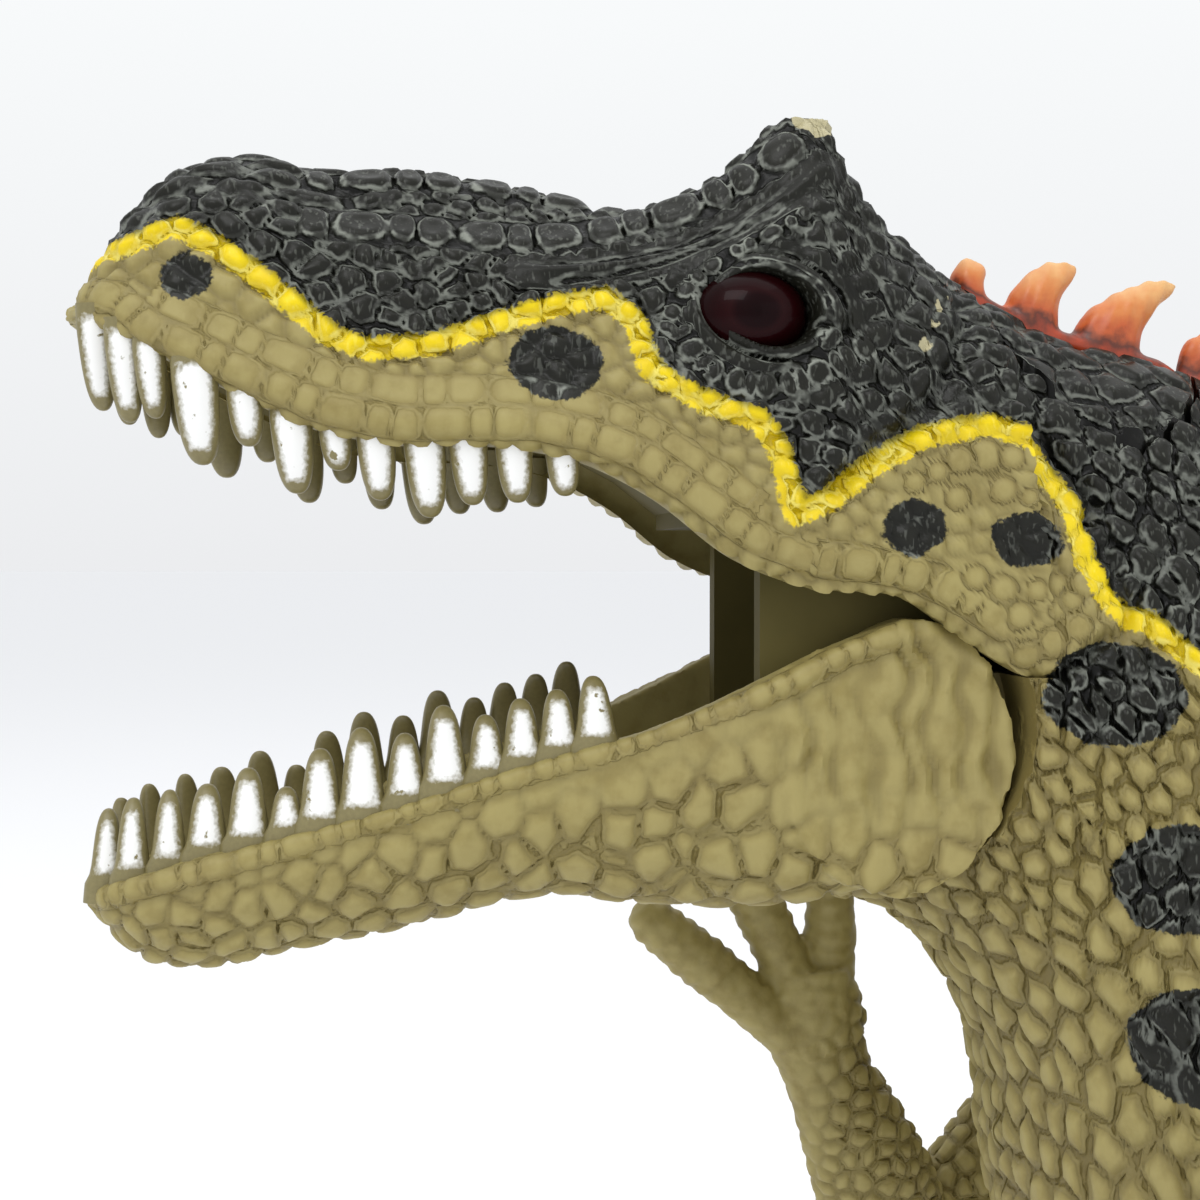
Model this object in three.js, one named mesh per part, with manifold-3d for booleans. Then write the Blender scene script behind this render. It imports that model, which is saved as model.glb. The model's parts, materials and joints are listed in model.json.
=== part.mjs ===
// A toy dinosaur figure with a chomping jaw, about 330 mm long, standing on two feet.
// Millimetres, +Z up, snout towards -X, the figure's left side towards -Y.
// The skull, body shells, crest and tail are one fixed group, and the jaw, button, limbs and tail turn on it.
import * as THREE from "three";
import { mergeVertices } from "three/addons/utils/BufferGeometryUtils.js";
import Module from "manifold-3d";

const wasm = await Module();
wasm.setup();

// Driving sizes of the head, measured from the back of the cheek to the tip of the snout.
const headLength = 68.5;
const headHeight = 38.5;
const headWidth = 31.2;

// Driving sizes of the neck and trunk, which stand on the hips.
const bodyLength = 140;
const bodyHeight = 90;
const bodyWidth = 44;
const hipHeight = 100;

// Driving sizes of the tail and limbs.
const tailLength = 135;
const tailRise = 14;
const legReach = 44;
const legThickness = 20;
const armReach = 41;
const armThickness = 8.4;

// Walls, clearances and overruns.
const shellWall = 1.9;
const skullWall = 1.8;
const tailWall = 2.2;
const tailEndWall = 3;
const seatGap = 0.3;
const runningGap = 0.4;
const cutOverrun = 6;
const roundSides = 32;
const halfTurn = Math.PI;
const fullTurn = 2 * Math.PI;

// Finishes.
const oliveVinyl = new THREE.MeshStandardMaterial({ color: 0x9a8d5c, roughness: 0.55, metalness: 0 });
const darkVinyl = new THREE.MeshStandardMaterial({ color: 0x3a3a38, roughness: 0.5, metalness: 0 });
const orangeVinyl = new THREE.MeshStandardMaterial({ color: 0xd8622a, roughness: 0.45, metalness: 0 });
const eyeAcrylic = new THREE.MeshStandardMaterial({ color: 0x3c0a0c, roughness: 0.08, metalness: 0 });
const framePlastic = new THREE.MeshStandardMaterial({ color: 0x6a623c, roughness: 0.5, metalness: 0 });
const mechanismPlastic = new THREE.MeshStandardMaterial({ color: 0xd9d6cc, roughness: 0.45, metalness: 0 });
const springSteel = new THREE.MeshStandardMaterial({ color: 0xb4b6ba, roughness: 0.3, metalness: 1 });

const figure = new THREE.Group();

// Geometry helpers

const lerp = (a, b, t) => a + (b - a) * t;

// One value of a Catmull-Rom curve through p1 and p2.
function curveValue(p0, p1, p2, p3, t) {
  const square = t * t;
  const cube = square * t;
  const pull = (p2 - p0) * t + (2 * p0 - 5 * p1 + 4 * p2 - p3) * square;
  return (2 * p1 + pull + (3 * p1 - p0 - 3 * p2 + p3) * cube) / 2;
}

// Rows of numbers with smooth rows added between them.
function smoothRows(rows, steps) {
  const last = rows.length - 1;
  const at = (i) => rows[Math.max(0, Math.min(last, i))];
  const out = [];
  for (let i = 0; i < last; i++)
    for (let step = 0; step < steps; step++)
      out.push(
        rows[i].map((_, c) => curveValue(at(i - 1)[c], at(i)[c], at(i + 1)[c], at(i + 2)[c], step / steps)),
      );
  out.push(rows[last].slice());
  return out;
}

// A closed mesh through rings of points, each ring with the same number of them.
function loftGeometry(rings) {
  const count = rings[0].length;
  const points = [];
  rings.forEach((ring) => ring.forEach((p) => points.push(p.x, p.y, p.z)));
  const faces = [];
  for (let r = 0; r + 1 < rings.length; r++)
    for (let i = 0; i < count; i++) {
      const j = (i + 1) % count;
      const a = r * count + i;
      const b = r * count + j;
      faces.push(a, b, b + count, a, b + count, a + count);
    }
  for (const [r, flip] of [
    [0, false],
    [rings.length - 1, true],
  ]) {
    const centre = rings[r].reduce((sum, p) => sum.add(p), new THREE.Vector3()).divideScalar(count);
    const hub = points.length / 3;
    points.push(centre.x, centre.y, centre.z);
    for (let i = 0; i < count; i++) {
      const a = r * count + i;
      const b = r * count + ((i + 1) % count);
      if (flip) faces.push(hub, a, b);
      else faces.push(hub, b, a);
    }
  }
  const geometry = new THREE.BufferGeometry();
  geometry.setAttribute("position", new THREE.Float32BufferAttribute(points, 3));
  geometry.setIndex(faces);
  return geometry;
}

// A three.js geometry as a solid that can be joined and cut.
function solid(geometry, matrix) {
  let plain = geometry.clone();
  plain.deleteAttribute("normal");
  plain.deleteAttribute("uv");
  if (matrix) plain.applyMatrix4(matrix);
  plain = mergeVertices(plain);
  const triVerts = new Uint32Array(plain.index.array);
  const vertProperties = plain.attributes.position.array;
  const made = new wasm.Manifold(new wasm.Mesh({ numProp: 3, vertProperties, triVerts }));
  if (made.volume() >= 0) return made;
  for (let i = 0; i < triVerts.length; i += 3)
    [triVerts[i + 1], triVerts[i + 2]] = [triVerts[i + 2], triVerts[i + 1]];
  return new wasm.Manifold(new wasm.Mesh({ numProp: 3, vertProperties, triVerts }));
}

const loft = (rings) => solid(loftGeometry(rings));
const joined = (pieces) => pieces.reduce((sum, piece) => sum.add(piece));

function place(x, y, z) {
  return new THREE.Matrix4().makeTranslation(x, y, z);
}

// A round bar along Y.
function barY(radius, x, z, yFrom, yTo, sides = 18) {
  const bar = new THREE.CylinderGeometry(radius, radius, Math.abs(yTo - yFrom), sides);
  return solid(bar, place(x, (yFrom + yTo) / 2, z));
}

// A round bar along X.
function barX(radius, y, z, xFrom, xTo, sides = 24) {
  const bar = new THREE.CylinderGeometry(radius, radius, Math.abs(xTo - xFrom), sides);
  bar.rotateZ(halfTurn / 2);
  return solid(bar, place((xFrom + xTo) / 2, y, z));
}

function box(xFrom, xTo, yFrom, yTo, zFrom, zTo) {
  const block = new THREE.BoxGeometry(xTo - xFrom, yTo - yFrom, zTo - zFrom);
  return solid(block, place((xFrom + xTo) / 2, (yFrom + yTo) / 2, (zFrom + zTo) / 2));
}

// A side-view outline of [x, z] points, extruded across the figure.
function sideSlab(points, yFrom, yTo) {
  const shape = new THREE.Shape(points.map(([x, z]) => new THREE.Vector2(x, z)));
  const slab = new THREE.ExtrudeGeometry(shape, { depth: yTo - yFrom, bevelEnabled: false });
  slab.rotateX(halfTurn / 2);
  return solid(slab, place(0, yTo, 0));
}

function addPiece(name, body, material) {
  const made = body.getMesh();
  const geometry = new THREE.BufferGeometry();
  const places = new Float32Array(made.numVert * 3);
  for (let i = 0; i < made.numVert; i++)
    for (let c = 0; c < 3; c++) places[3 * i + c] = made.vertProperties[made.numProp * i + c];
  geometry.setAttribute("position", new THREE.BufferAttribute(places, 3));
  geometry.setIndex(new THREE.BufferAttribute(made.triVerts, 1));
  geometry.computeVertexNormals();
  const mesh = new THREE.Mesh(geometry, material);
  mesh.name = name;
  figure.add(mesh);
}

// Trunk and neck
// Each row is a slice through the trunk: the x and z shares of its top point and of its bottom point,
// counted from the hip, and the share of the half width.

const trunkSliceShares = [
  [-0.629, 0.567, -0.629, 0.044, 0.5],
  [-0.579, 0.553, -0.6, 0.031, 0.62],
  [-0.521, 0.511, -0.564, -0.028, 0.71],
  [-0.457, 0.483, -0.541, -0.111, 0.78],
  [-0.393, 0.456, -0.532, -0.222, 0.85],
  [-0.329, 0.428, -0.514, -0.322, 0.92],
  [-0.264, 0.397, -0.45, -0.394, 0.98],
  [-0.186, 0.361, -0.329, -0.409, 1],
  [-0.086, 0.328, -0.179, -0.372, 0.95],
  [0.029, 0.298, -0.029, -0.322, 0.87],
  [0.143, 0.27, 0.114, -0.272, 0.79],
  [0.257, 0.237, 0.243, -0.211, 0.72],
  [0.357, 0.198, 0.357, -0.127, 0.65],
];
const trunkSides = 20;
const trunkEggShare = 0.1;

function trunkRings(rows, sides, wall) {
  return rows.map(([topX, topZ, lowX, lowZ, wide]) => {
    const top = new THREE.Vector3(topX * bodyLength, 0, hipHeight + topZ * bodyHeight);
    const low = new THREE.Vector3(lowX * bodyLength, 0, hipHeight + lowZ * bodyHeight);
    const middle = top.clone().add(low).divideScalar(2);
    const up = top.clone().sub(middle);
    const reach = up.length();
    up.setLength(reach - wall);
    const halfWidth = (wide * bodyWidth) / 2 - wall;
    const ring = [];
    for (let i = 0; i < sides; i++) {
      const turn = (fullTurn * i) / sides;
      const p = middle.clone().addScaledVector(up, Math.cos(turn));
      p.y = -halfWidth * Math.sin(turn) * (1 - trunkEggShare * Math.cos(turn));
      ring.push(p);
    }
    return ring;
  });
}

const trunkRows = smoothRows(trunkSliceShares, 2);
const trunkOuter = loft(trunkRings(trunkRows, trunkSides, 0));
const tailRootX = trunkSliceShares.at(-1)[0] * bodyLength;

function trunkHollow() {
  const rings = trunkRings(smoothRows(trunkSliceShares, 1), trunkSides, shellWall);
  const front = rings[0].map((p) => p.clone().setX(p.x - cutOverrun));
  const hollow = loft([front, ...rings]);
  const high = hipHeight + bodyHeight;
  const endWall = box(tailRootX - tailEndWall, tailRootX + cutOverrun, -bodyWidth, bodyWidth, 0, high);
  return hollow.subtract(endWall);
}

// Seam between the head and the neck
// A leaning plane behind the skull and cheek, given by its top and bottom points in the trunk's shares.

const seamTopX = -0.571 * bodyLength;
const seamTopZ = hipHeight + 0.558 * bodyHeight;
const seamLowX = -0.547 * bodyLength;
const seamLowZ = hipHeight + 0.239 * bodyHeight;

function seamX(z, offset) {
  return lerp(seamLowX, seamTopX, (z - seamLowZ) / (seamTopZ - seamLowZ)) + offset;
}

// Head
// Places in the head are shares of its length forward of the seam's foot, and of its height above the cheek.

const headBackX = -0.539 * bodyLength;
const cheekZ = seamLowZ;
const headX = (share) => headBackX - share * headLength;
const headZ = (share) => cheekZ + share * headHeight;
const halfHead = headWidth / 2;

// Each row is a slice of the skull, back to front: length share, crown height, then the width and height
// shares of the brow line, of the flank and of the lip.
const skullSliceShares = [
  [-0.06, 0.66, 0.66, 0.55, 1.0, 0.3, 1.0, 0.04],
  [0.044, 0.735, 0.6, 0.64, 0.96, 0.35, 1.0, 0.01],
  [0.102, 0.785, 0.56, 0.71, 0.92, 0.416, 0.99, 0.05],
  [0.161, 0.81, 0.53, 0.79, 0.885, 0.48, 0.98, 0.12],
  [0.2, 0.805, 0.49, 0.885, 0.86, 0.558, 0.97, 0.133],
  [0.232, 0.805, 0.46, 0.99, 0.845, 0.597, 0.965, 0.136],
  [0.262, 0.8, 0.46, 0.98, 0.83, 0.622, 0.955, 0.142],
  [0.336, 0.805, 0.45, 0.883, 0.8, 0.61, 0.935, 0.195],
  [0.409, 0.826, 0.43, 0.82, 0.765, 0.571, 0.905, 0.294],
  [0.482, 0.868, 0.41, 0.79, 0.73, 0.571, 0.87, 0.36],
  [0.569, 0.899, 0.4, 0.79, 0.695, 0.587, 0.815, 0.387],
  [0.657, 0.917, 0.38, 0.803, 0.655, 0.603, 0.765, 0.39],
  [0.737, 0.914, 0.355, 0.826, 0.625, 0.634, 0.717, 0.416],
  [0.81, 0.935, 0.33, 0.868, 0.59, 0.675, 0.675, 0.473],
  [0.876, 0.906, 0.3, 0.862, 0.54, 0.696, 0.634, 0.532],
  [0.927, 0.825, 0.26, 0.79, 0.475, 0.685, 0.555, 0.577],
  [0.968, 0.715, 0.19, 0.69, 0.35, 0.65, 0.42, 0.613],
  [0.99, 0.655, 0.09, 0.645, 0.17, 0.635, 0.2, 0.618],
];

// Half of a skull slice as [y, z] points from the crown to the lip.
function skullHalf([, crown, browW, browZ, flankW, flankZ, lipW, lipZ]) {
  const upperW = lerp(browW, flankW, 0.62);
  const upperZ = lerp(browZ, flankZ, 0.42);
  return [
    [0, crown],
    [browW * 0.52, lerp(crown, browZ, 0.3)],
    [browW, browZ],
    [upperW, upperZ],
    [flankW, flankZ],
    [lerp(flankW, lipW, 0.7), lerp(flankZ, lipZ, 0.55)],
    [lipW, lerp(lipZ, flankZ, 0.14)],
    [lipW * 0.93, lipZ],
  ];
}

function skullRings(rows, wall, drop) {
  return rows.map((row) => {
    const half = skullHalf(row).map(([y, z]) => [y * halfHead, headZ(z)]);
    const lowest = half.at(-1);
    const last = half.length - 1;
    const shrunk = half.map(([y, z], i) => {
      const across = i === 0 ? 0 : Math.max(y - wall, y / 5);
      const height = i === last ? lowest[1] - drop : z - wall * (1 - i / half.length);
      return [across, height];
    });
    if (drop) shrunk.push([shrunk.at(-1)[0] / 2, lowest[1] - drop]);
    const left = shrunk.slice(1).map(([y, z]) => [-y, z]);
    const right = shrunk.slice(1).reverse();
    return [shrunk[0], ...left, ...right].map(([y, z]) => new THREE.Vector3(headX(row[0]), y, z));
  });
}

// The space in front of the seam, leaning with it.
function aheadOfSeam(offset) {
  const high = seamTopZ + cutOverrun * 3;
  const low = seamLowZ - headHeight;
  const front = headX(1) - cutOverrun;
  return sideSlab(
    [
      [front, low],
      [seamX(low, offset), low],
      [seamX(high, offset), high],
      [front, high],
    ],
    -headWidth,
    headWidth,
  );
}

// A tooth: a six-sided cone with a blunt tip, rooted at a point and pointing up or down.
const toothLength = 5;
const toothWidth = 2.8;
const toothRoot = 1.3;
const toothSides = 6;

function tooth(x, y, z, length, up, lean) {
  const levels = [
    [-toothRoot, 1],
    [length * 0.5, 0.88],
    [length, 0.24],
  ];
  const broad = lerp(0.55, 1, length / toothLength) * toothWidth;
  const rings = levels.map(([along, share]) => {
    const ring = [];
    for (let i = 0; i < toothSides; i++) {
      const turn = (fullTurn * i) / toothSides;
      const wide = (broad / 2) * share;
      const across = Math.cos(turn) * wide;
      const out = Math.sin(turn) * wide * 0.7;
      ring.push(new THREE.Vector3(x + across + lean * Math.max(0, along), y + out, z + up * along));
    }
    return ring;
  });
  return loft(rings);
}

// Upper teeth of one side, back to front: share of the head's length, and share of the tooth length.
const upperToothShares = [
  [0.499, 0.52],
  [0.546, 0.72],
  [0.59, 0.8],
  [0.632, 0.96],
  [0.679, 0.78],
  [0.718, 0.48],
  [0.761, 0.98],
  [0.805, 0.64],
  [0.853, 1.22],
  [0.897, 0.9],
  [0.924, 1.12],
  [0.953, 1.16],
];

// The value of one column of a table of slices at a share of the length.
function rowAt(rows, share, column) {
  const next = Math.max(1, rows.findIndex((row) => row[0] >= share));
  const [a, b] = [rows[next - 1], rows[next]];
  return lerp(a[column], b[column], (share - a[0]) / (b[0] - a[0]));
}

function upperToothRow(side) {
  return upperToothShares.map(([share, long]) => {
    const lipWidth = rowAt(skullSliceShares, share, 6) * halfHead;
    const lip = headZ(rowAt(skullSliceShares, share, 7));
    return tooth(headX(share), side * (lipWidth * 0.93 - skullWall / 2), lip, long * toothLength, -1, 0.08);
  });
}

// Eye: a glossy ball set in a socket.
const eyeRadius = 4;
const eyeX = headX(0.312);
const eyeZ = headZ(0.62);
const eyeSetIn = 1.1;
const eyeY = rowAt(skullSliceShares, 0.312, 4) * halfHead - eyeSetIn * 2;

function eyeBall(side, radius, sides = 12) {
  const ball = new THREE.SphereGeometry(radius, sides, Math.round(sides / 2));
  const squash = new THREE.Matrix4().makeScale(1, 0.8, 0.78);
  return solid(ball, place(eyeX, side * eyeY, eyeZ).multiply(squash));
}

function makeSkull() {
  const outer = loft(skullRings(smoothRows(skullSliceShares, 1), 0, 0));
  const hollowRows = skullSliceShares.slice(0, -2);
  const hollow = loft(skullRings(hollowRows, skullWall, cutOverrun));
  let skull = outer.subtract(hollow);
  skull = joined([skull, ...upperToothRow(-1), ...upperToothRow(1)]);
  skull = skull.intersect(aheadOfSeam(-seatGap));
  for (const side of [-1, 1]) {
    const socket = eyeBall(side, eyeRadius + runningGap, 10);
    const backing = eyeBall(side, eyeRadius + runningGap + skullWall, 8).intersect(outer);
    skull = skull.add(backing).subtract(socket);
  }
  addPiece("skull_shell", skull, oliveVinyl);
  addPiece("eye_left", eyeBall(-1, eyeRadius), eyeAcrylic);
  addPiece("eye_right", eyeBall(1, eyeRadius), eyeAcrylic);
}

// Jaw hinge
const hingeX = headX(0.163);
const hingeZ = headZ(-0.159);
const pinRadius = 1.5;
const pinHoleRadius = 1.75;
const yokeOuter = halfHead * 0.6;
const yokeThickness = 1.9;
const yokeInner = yokeOuter - yokeThickness;
const jawDiscRadius = 9.5;
const jawClosingDegrees = 31;
const jawDiscInner = yokeOuter + runningGap;
const jawDiscOuter = halfHead * 0.853;
const pinHalfLength = jawDiscOuter - skullWall;

// The rounded rear end of the jaw in side view: degrees up from straight back, and a share of the
// disc's radius.
const discShares = [
  [-120, 0.96],
  [-94, 0.99],
  [-76, 0.96],
  [-49, 0.87],
  [-22, 0.81],
  [0, 0.81],
  [24, 0.83],
  [50, 0.91],
  [69, 1.0],
  [88, 1.0],
  [109, 0.9],
  [150, 0.9],
  [195, 0.9],
  [240, 0.96],
];

function discShare(degrees) {
  return rowAt(discShares, Math.max(-119, Math.min(239, degrees)), 1);
}

// The disc's outline, or with a closing angle the outline of all that it sweeps while the jaw closes.
function discOutline(closing, grow) {
  const points = [];
  for (let degrees = -120; degrees < 240; degrees += 12) {
    const swept = [0, 0.25, 0.5, 0.75, 1].map((part) => discShare(degrees + closing * part));
    const radius = Math.max(...swept) * jawDiscRadius + grow;
    const turn = (degrees / 180) * halfTurn;
    points.push([hingeX + radius * Math.cos(turn), hingeZ + radius * Math.sin(turn)]);
  }
  return points;
}

// Mouth frame: the roof of the mouth and the two plates that carry the jaw's pin.
const roofThickness = 1.6;
const roofLift = 2.2;
const sleeveRadius = 3.3;
const leverHalfWidth = 4;
const frameWall = 1.4;
const frameWallX = hingeX + sleeveRadius + seatGap;
const frameBackX = frameWallX + frameWall;

function makeMouthFrame() {
  const rows = skullSliceShares.filter(([share]) => share > 0.3 && share < 0.95);
  const rings = rows.map((row) => {
    const half = row[6] * 0.93 * halfHead - skullWall - toothWidth / 3 - runningGap;
    const low = headZ(row[7]) + roofLift;
    return [
      [-half, low],
      [half, low],
      [half, low + roofThickness],
      [-half, low + roofThickness],
    ].map(([y, z]) => new THREE.Vector3(headX(row[0]), y, z));
  });
  const roofBack = headX(rows[0][0]);
  const roofBackZ = headZ(rows[0][7]) + roofLift;
  const plateFront = headX(0.296);
  const plateTop = roofBackZ + roofThickness;
  const web = box(roofBack - roofThickness, frameBackX, -yokeOuter, yokeOuter, roofBackZ, plateTop);
  const wall = box(frameWallX, frameBackX, -yokeOuter, yokeOuter, hingeZ - sleeveRadius, plateTop);
  const crankSlotHalf = leverHalfWidth / 2 + runningGap;
  const slotTop = hingeZ + crankRise * 2;
  const slotFront = frameWallX - frameWall;
  const slotBack = frameBackX + frameWall;
  const crankSlot = box(slotFront, slotBack, -crankSlotHalf, crankSlotHalf, 0, slotTop);
  const eyeOfPlate = hingeZ - pinRadius * 3.4;
  const outline = [
    [plateFront, plateTop],
    [plateFront, hingeZ - pinRadius],
    [hingeX - pinRadius * 2.4, eyeOfPlate],
    [hingeX + pinRadius * 2.4, eyeOfPlate],
    [frameBackX, hingeZ],
    [frameBackX, plateTop],
  ];
  let frame = joined([
    loft(rings),
    web,
    wall.subtract(crankSlot),
    sideSlab(outline, -yokeOuter, -yokeInner),
    sideSlab(outline, yokeInner, yokeOuter),
  ]);
  const past = yokeOuter + cutOverrun;
  frame = frame.subtract(barY(pinHoleRadius, hingeX, hingeZ, -past, past));
  addPiece("mouth_frame", frame, framePlastic);
}

// Lower jaw
// Each row is a slice, back to front: length share, height shares of the rim and of the chin,
// and width shares of the rim and of the chin.
const jawSliceShares = [
  [0.163, 0.075, -0.405, 0.853, 0.8],
  [0.24, 0.03, -0.43, 0.853, 0.76],
  [0.307, -0.027, -0.44, 0.84, 0.7],
  [0.365, -0.077, -0.44, 0.8, 0.62],
  [0.423, -0.12, -0.435, 0.74, 0.57],
  [0.496, -0.153, -0.42, 0.676, 0.5],
  [0.569, -0.194, -0.442, 0.63, 0.45],
  [0.667, -0.25, -0.485, 0.58, 0.4],
  [0.766, -0.295, -0.518, 0.535, 0.36],
  [0.858, -0.337, -0.552, 0.49, 0.31],
  [0.915, -0.37, -0.535, 0.44, 0.27],
  [0.95, -0.39, -0.49, 0.345, 0.2],
  [0.968, -0.405, -0.45, 0.19, 0.12],
];
const jawWall = 2.1;
const jawFloor = 2.6;
const jawNarrowShare = 0.36;

function jawRings() {
  return smoothRows(jawSliceShares, 1).map(([share, rim, chin, rimW, chinW]) => {
    const half = [
      [rimW * 0.55, rim],
      [rimW, rim],
      [Math.min(rimW * 1.03, jawDiscOuter / halfHead), lerp(rim, chin, 0.14)],
      [Math.min(lerp(rimW, chinW, 0.25) * 1.03, jawDiscOuter / halfHead), lerp(rim, chin, 0.5)],
      [chinW, lerp(rim, chin, 0.87)],
      [chinW * 0.6, chin],
    ];
    const left = half.map(([y, z]) => [-y, z]);
    const right = half.slice().reverse();
    return [...left, ...right].map(([y, z]) => new THREE.Vector3(headX(share), y * halfHead, headZ(z)));
  });
}

function jawChannel() {
  const rows = jawSliceShares.slice(0, -2);
  const rings = rows.map(([share, rim, chin, rimW, chinW]) => {
    const high = headZ(rim) + cutOverrun;
    const low = headZ(chin) + jawFloor;
    const wideTop = Math.max(rimW * halfHead - jawWall, share < jawNarrowShare ? jawDiscInner : 0);
    const wideLow = Math.max(chinW * halfHead - jawWall / 2, share < jawNarrowShare ? yokeInner : 0);
    return [
      [-wideLow, low],
      [wideLow, low],
      [wideTop, low + jawFloor],
      [wideTop, high],
      [-wideTop, high],
      [-wideTop, low + jawFloor],
    ].map(([y, z]) => new THREE.Vector3(headX(share), y, z));
  });
  const back = rings[0].map((p) => p.clone().setX(p.x + cutOverrun));
  return loft([back, ...rings]);
}

// Lower teeth of one side, back to front: share of the head's length, and share of the tooth length.
const lowerToothShares = [
  [0.463, 0.94],
  [0.499, 0.88],
  [0.535, 0.9],
  [0.57, 0.84],
  [0.611, 1.14],
  [0.65, 0.94],
  [0.693, 1.18],
  [0.734, 1.04],
  [0.768, 0.64],
  [0.806, 1.02],
  [0.847, 0.94],
  [0.885, 1.02],
  [0.922, 1.06],
  [0.949, 1],
];

function lowerToothRow(side) {
  return lowerToothShares.map(([share, long]) => {
    const rimWidth = rowAt(jawSliceShares, share, 3) * halfHead;
    const rim = headZ(rowAt(jawSliceShares, share, 1));
    return tooth(headX(share), side * (rimWidth - jawWall / 2), rim, long * toothLength, 1, -0.02);
  });
}

const jawFloorBackX = headX(0.24);

function makeJaw() {
  let jaw = loft(jawRings()).subtract(jawChannel());
  jaw = joined([jaw, ...lowerToothRow(-1), ...lowerToothRow(1)]);
  for (const side of [-1, 1]) {
    const [from, to] = side < 0 ? [-jawDiscOuter, -jawDiscInner] : [jawDiscInner, jawDiscOuter];
    const disc = sideSlab(discOutline(0, 0), from, to);
    jaw = joined([jaw, disc]);
    const deep = side < 0 ? [-pinHalfLength - seatGap, 0] : [0, pinHalfLength + seatGap];
    jaw = jaw.subtract(barY(pinHoleRadius, hingeX, hingeZ, deep[0], deep[1]));
  }
  const throatBack = hingeX + jawDiscRadius;
  jaw = jaw.subtract(box(jawFloorBackX, throatBack, -jawDiscInner, jawDiscInner, 0, hingeZ + headHeight));
  addPiece("lower_jaw", jaw, oliveVinyl);
  addPiece("jaw_pin", barY(pinRadius, hingeX, hingeZ, -pinHalfLength, pinHalfLength, 20), springSteel);
}

// Jaw lever: a sleeve on the pin with a tongue that holds the jaw and a crank that the button presses.
const crankReach = 6.9;
const crankRise = 2;
const leverThickness = 2.4;

function makeLever() {
  const floorTop = headZ(-0.415) + jawFloor + seatGap;
  const tongueTip = headX(0.36);
  const tongue = sideSlab(
    [
      [hingeX - sleeveRadius * 0.7, hingeZ - sleeveRadius * 0.6],
      [jawFloorBackX - sleeveRadius, floorTop + leverThickness],
      [tongueTip, floorTop + leverThickness],
      [tongueTip, floorTop],
      [jawFloorBackX, floorTop],
      [hingeX, hingeZ - sleeveRadius],
    ],
    -leverHalfWidth / 2,
    leverHalfWidth / 2,
  );
  const crank = sideSlab(
    [
      [hingeX, hingeZ - leverThickness / 2],
      [hingeX + crankReach, hingeZ + crankRise - leverThickness / 2],
      [hingeX + crankReach + leverThickness / 2, hingeZ + crankRise],
      [hingeX + crankReach, hingeZ + crankRise + leverThickness / 2],
      [hingeX, hingeZ + leverThickness],
    ],
    -leverHalfWidth / 2,
    leverHalfWidth / 2,
  );
  const sleeve = barY(sleeveRadius, hingeX, hingeZ, -leverHalfWidth, leverHalfWidth);
  let lever = joined([sleeve, tongue, crank]);
  lever = lever.subtract(barY(pinHoleRadius, hingeX, hingeZ, -headWidth, headWidth));
  addPiece("jaw_lever", lever, mechanismPlastic);
}

// Torsion spring on the pin, between the sleeve and one plate of the mouth frame: one unbroken wire.
const springWire = 0.6;
const springRadius = 2.6;
const springTurns = 2;
const springPitch = 1.06;

function makeSpring() {
  const sides = 5;
  const steps = 12;
  const start = leverHalfWidth + springWire * 0.9;
  const centres = [];
  const legEnd = new THREE.Vector3(hingeX + springRadius, start, hingeZ + springRadius * 2.6);
  centres.push(legEnd);
  for (let i = 0; i <= springTurns * steps; i++) {
    const turn = (fullTurn * i) / steps;
    const y = start + (springPitch * i) / steps;
    centres.push(
      new THREE.Vector3(hingeX + springRadius * Math.cos(turn), y, hingeZ - springRadius * Math.sin(turn)),
    );
  }
  const coil = centres.slice(1);
  const last = centres.at(-1);
  centres.push(new THREE.Vector3(last.x, last.y, last.z + springRadius * 2.6));
  let nearest = springRadius * 2;
  coil.forEach((p, i) => {
    coil.slice(i + steps / 2).forEach((q) => {
      nearest = Math.min(nearest, p.distanceTo(q));
    });
  });
  console.log(`jaw spring, least gap to itself: ${(nearest - springWire).toFixed(2)} mm`);
  const rings = centres.map((c, i) => {
    const ahead = centres[Math.min(i + 1, centres.length - 1)];
    const behind = centres[Math.max(i - 1, 0)];
    const along = ahead.clone().sub(behind).normalize();
    const acrossY = new THREE.Vector3(0, 1, 0);
    const outward = new THREE.Vector3().crossVectors(along, acrossY).normalize();
    const across = new THREE.Vector3().crossVectors(outward, along);
    const ring = [];
    for (let k = 0; k < sides; k++) {
      const turn = (fullTurn * k) / sides;
      const wire = springWire / 2;
      const p = c.clone().addScaledVector(outward, wire * Math.cos(turn));
      ring.push(p.addScaledVector(across, wire * Math.sin(turn)));
    }
    return ring;
  });
  addPiece("jaw_spring", loft(rings), springSteel);
}

// Crest spines
// A spine leans back: its points are shares of its base length and its height.

const spineShares = [
  [0.04, 0.08],
  [0.22, 0.4],
  [0.36, 0.78],
  [0.45, 0.97],
  [0.56, 1.0],
  [0.68, 0.93],
  [0.8, 0.6],
  [0.93, 0.25],
];

function backTopZ(x) {
  const rows = trunkRows.map(([u, v]) => [u * bodyLength, hipHeight + v * bodyHeight]);
  return rowAt(rows, x, 1);
}

// A strip of spines along the back: the outline runs along the spines' tips and back below them.
function spineStrip(edges, heights, sink, halfThick) {
  const top = [];
  heights.forEach((height, i) => {
    const [from, to] = [edges[i], edges[i + 1]];
    spineShares.forEach(([along, up]) => {
      const x = lerp(from, to, along);
      top.push([x, backTopZ(Math.min(x, to)) + up * height]);
    });
  });
  const [first, last] = [edges[0], edges.at(-1)];
  const bottom = [];
  const steps = heights.length;
  for (let i = 0; i <= steps; i++) {
    const x = lerp(last, first, i / steps);
    bottom.push([x, backTopZ(x) - sink]);
  }
  return sideSlab([...top, ...bottom], -halfThick, halfThick);
}

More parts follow.
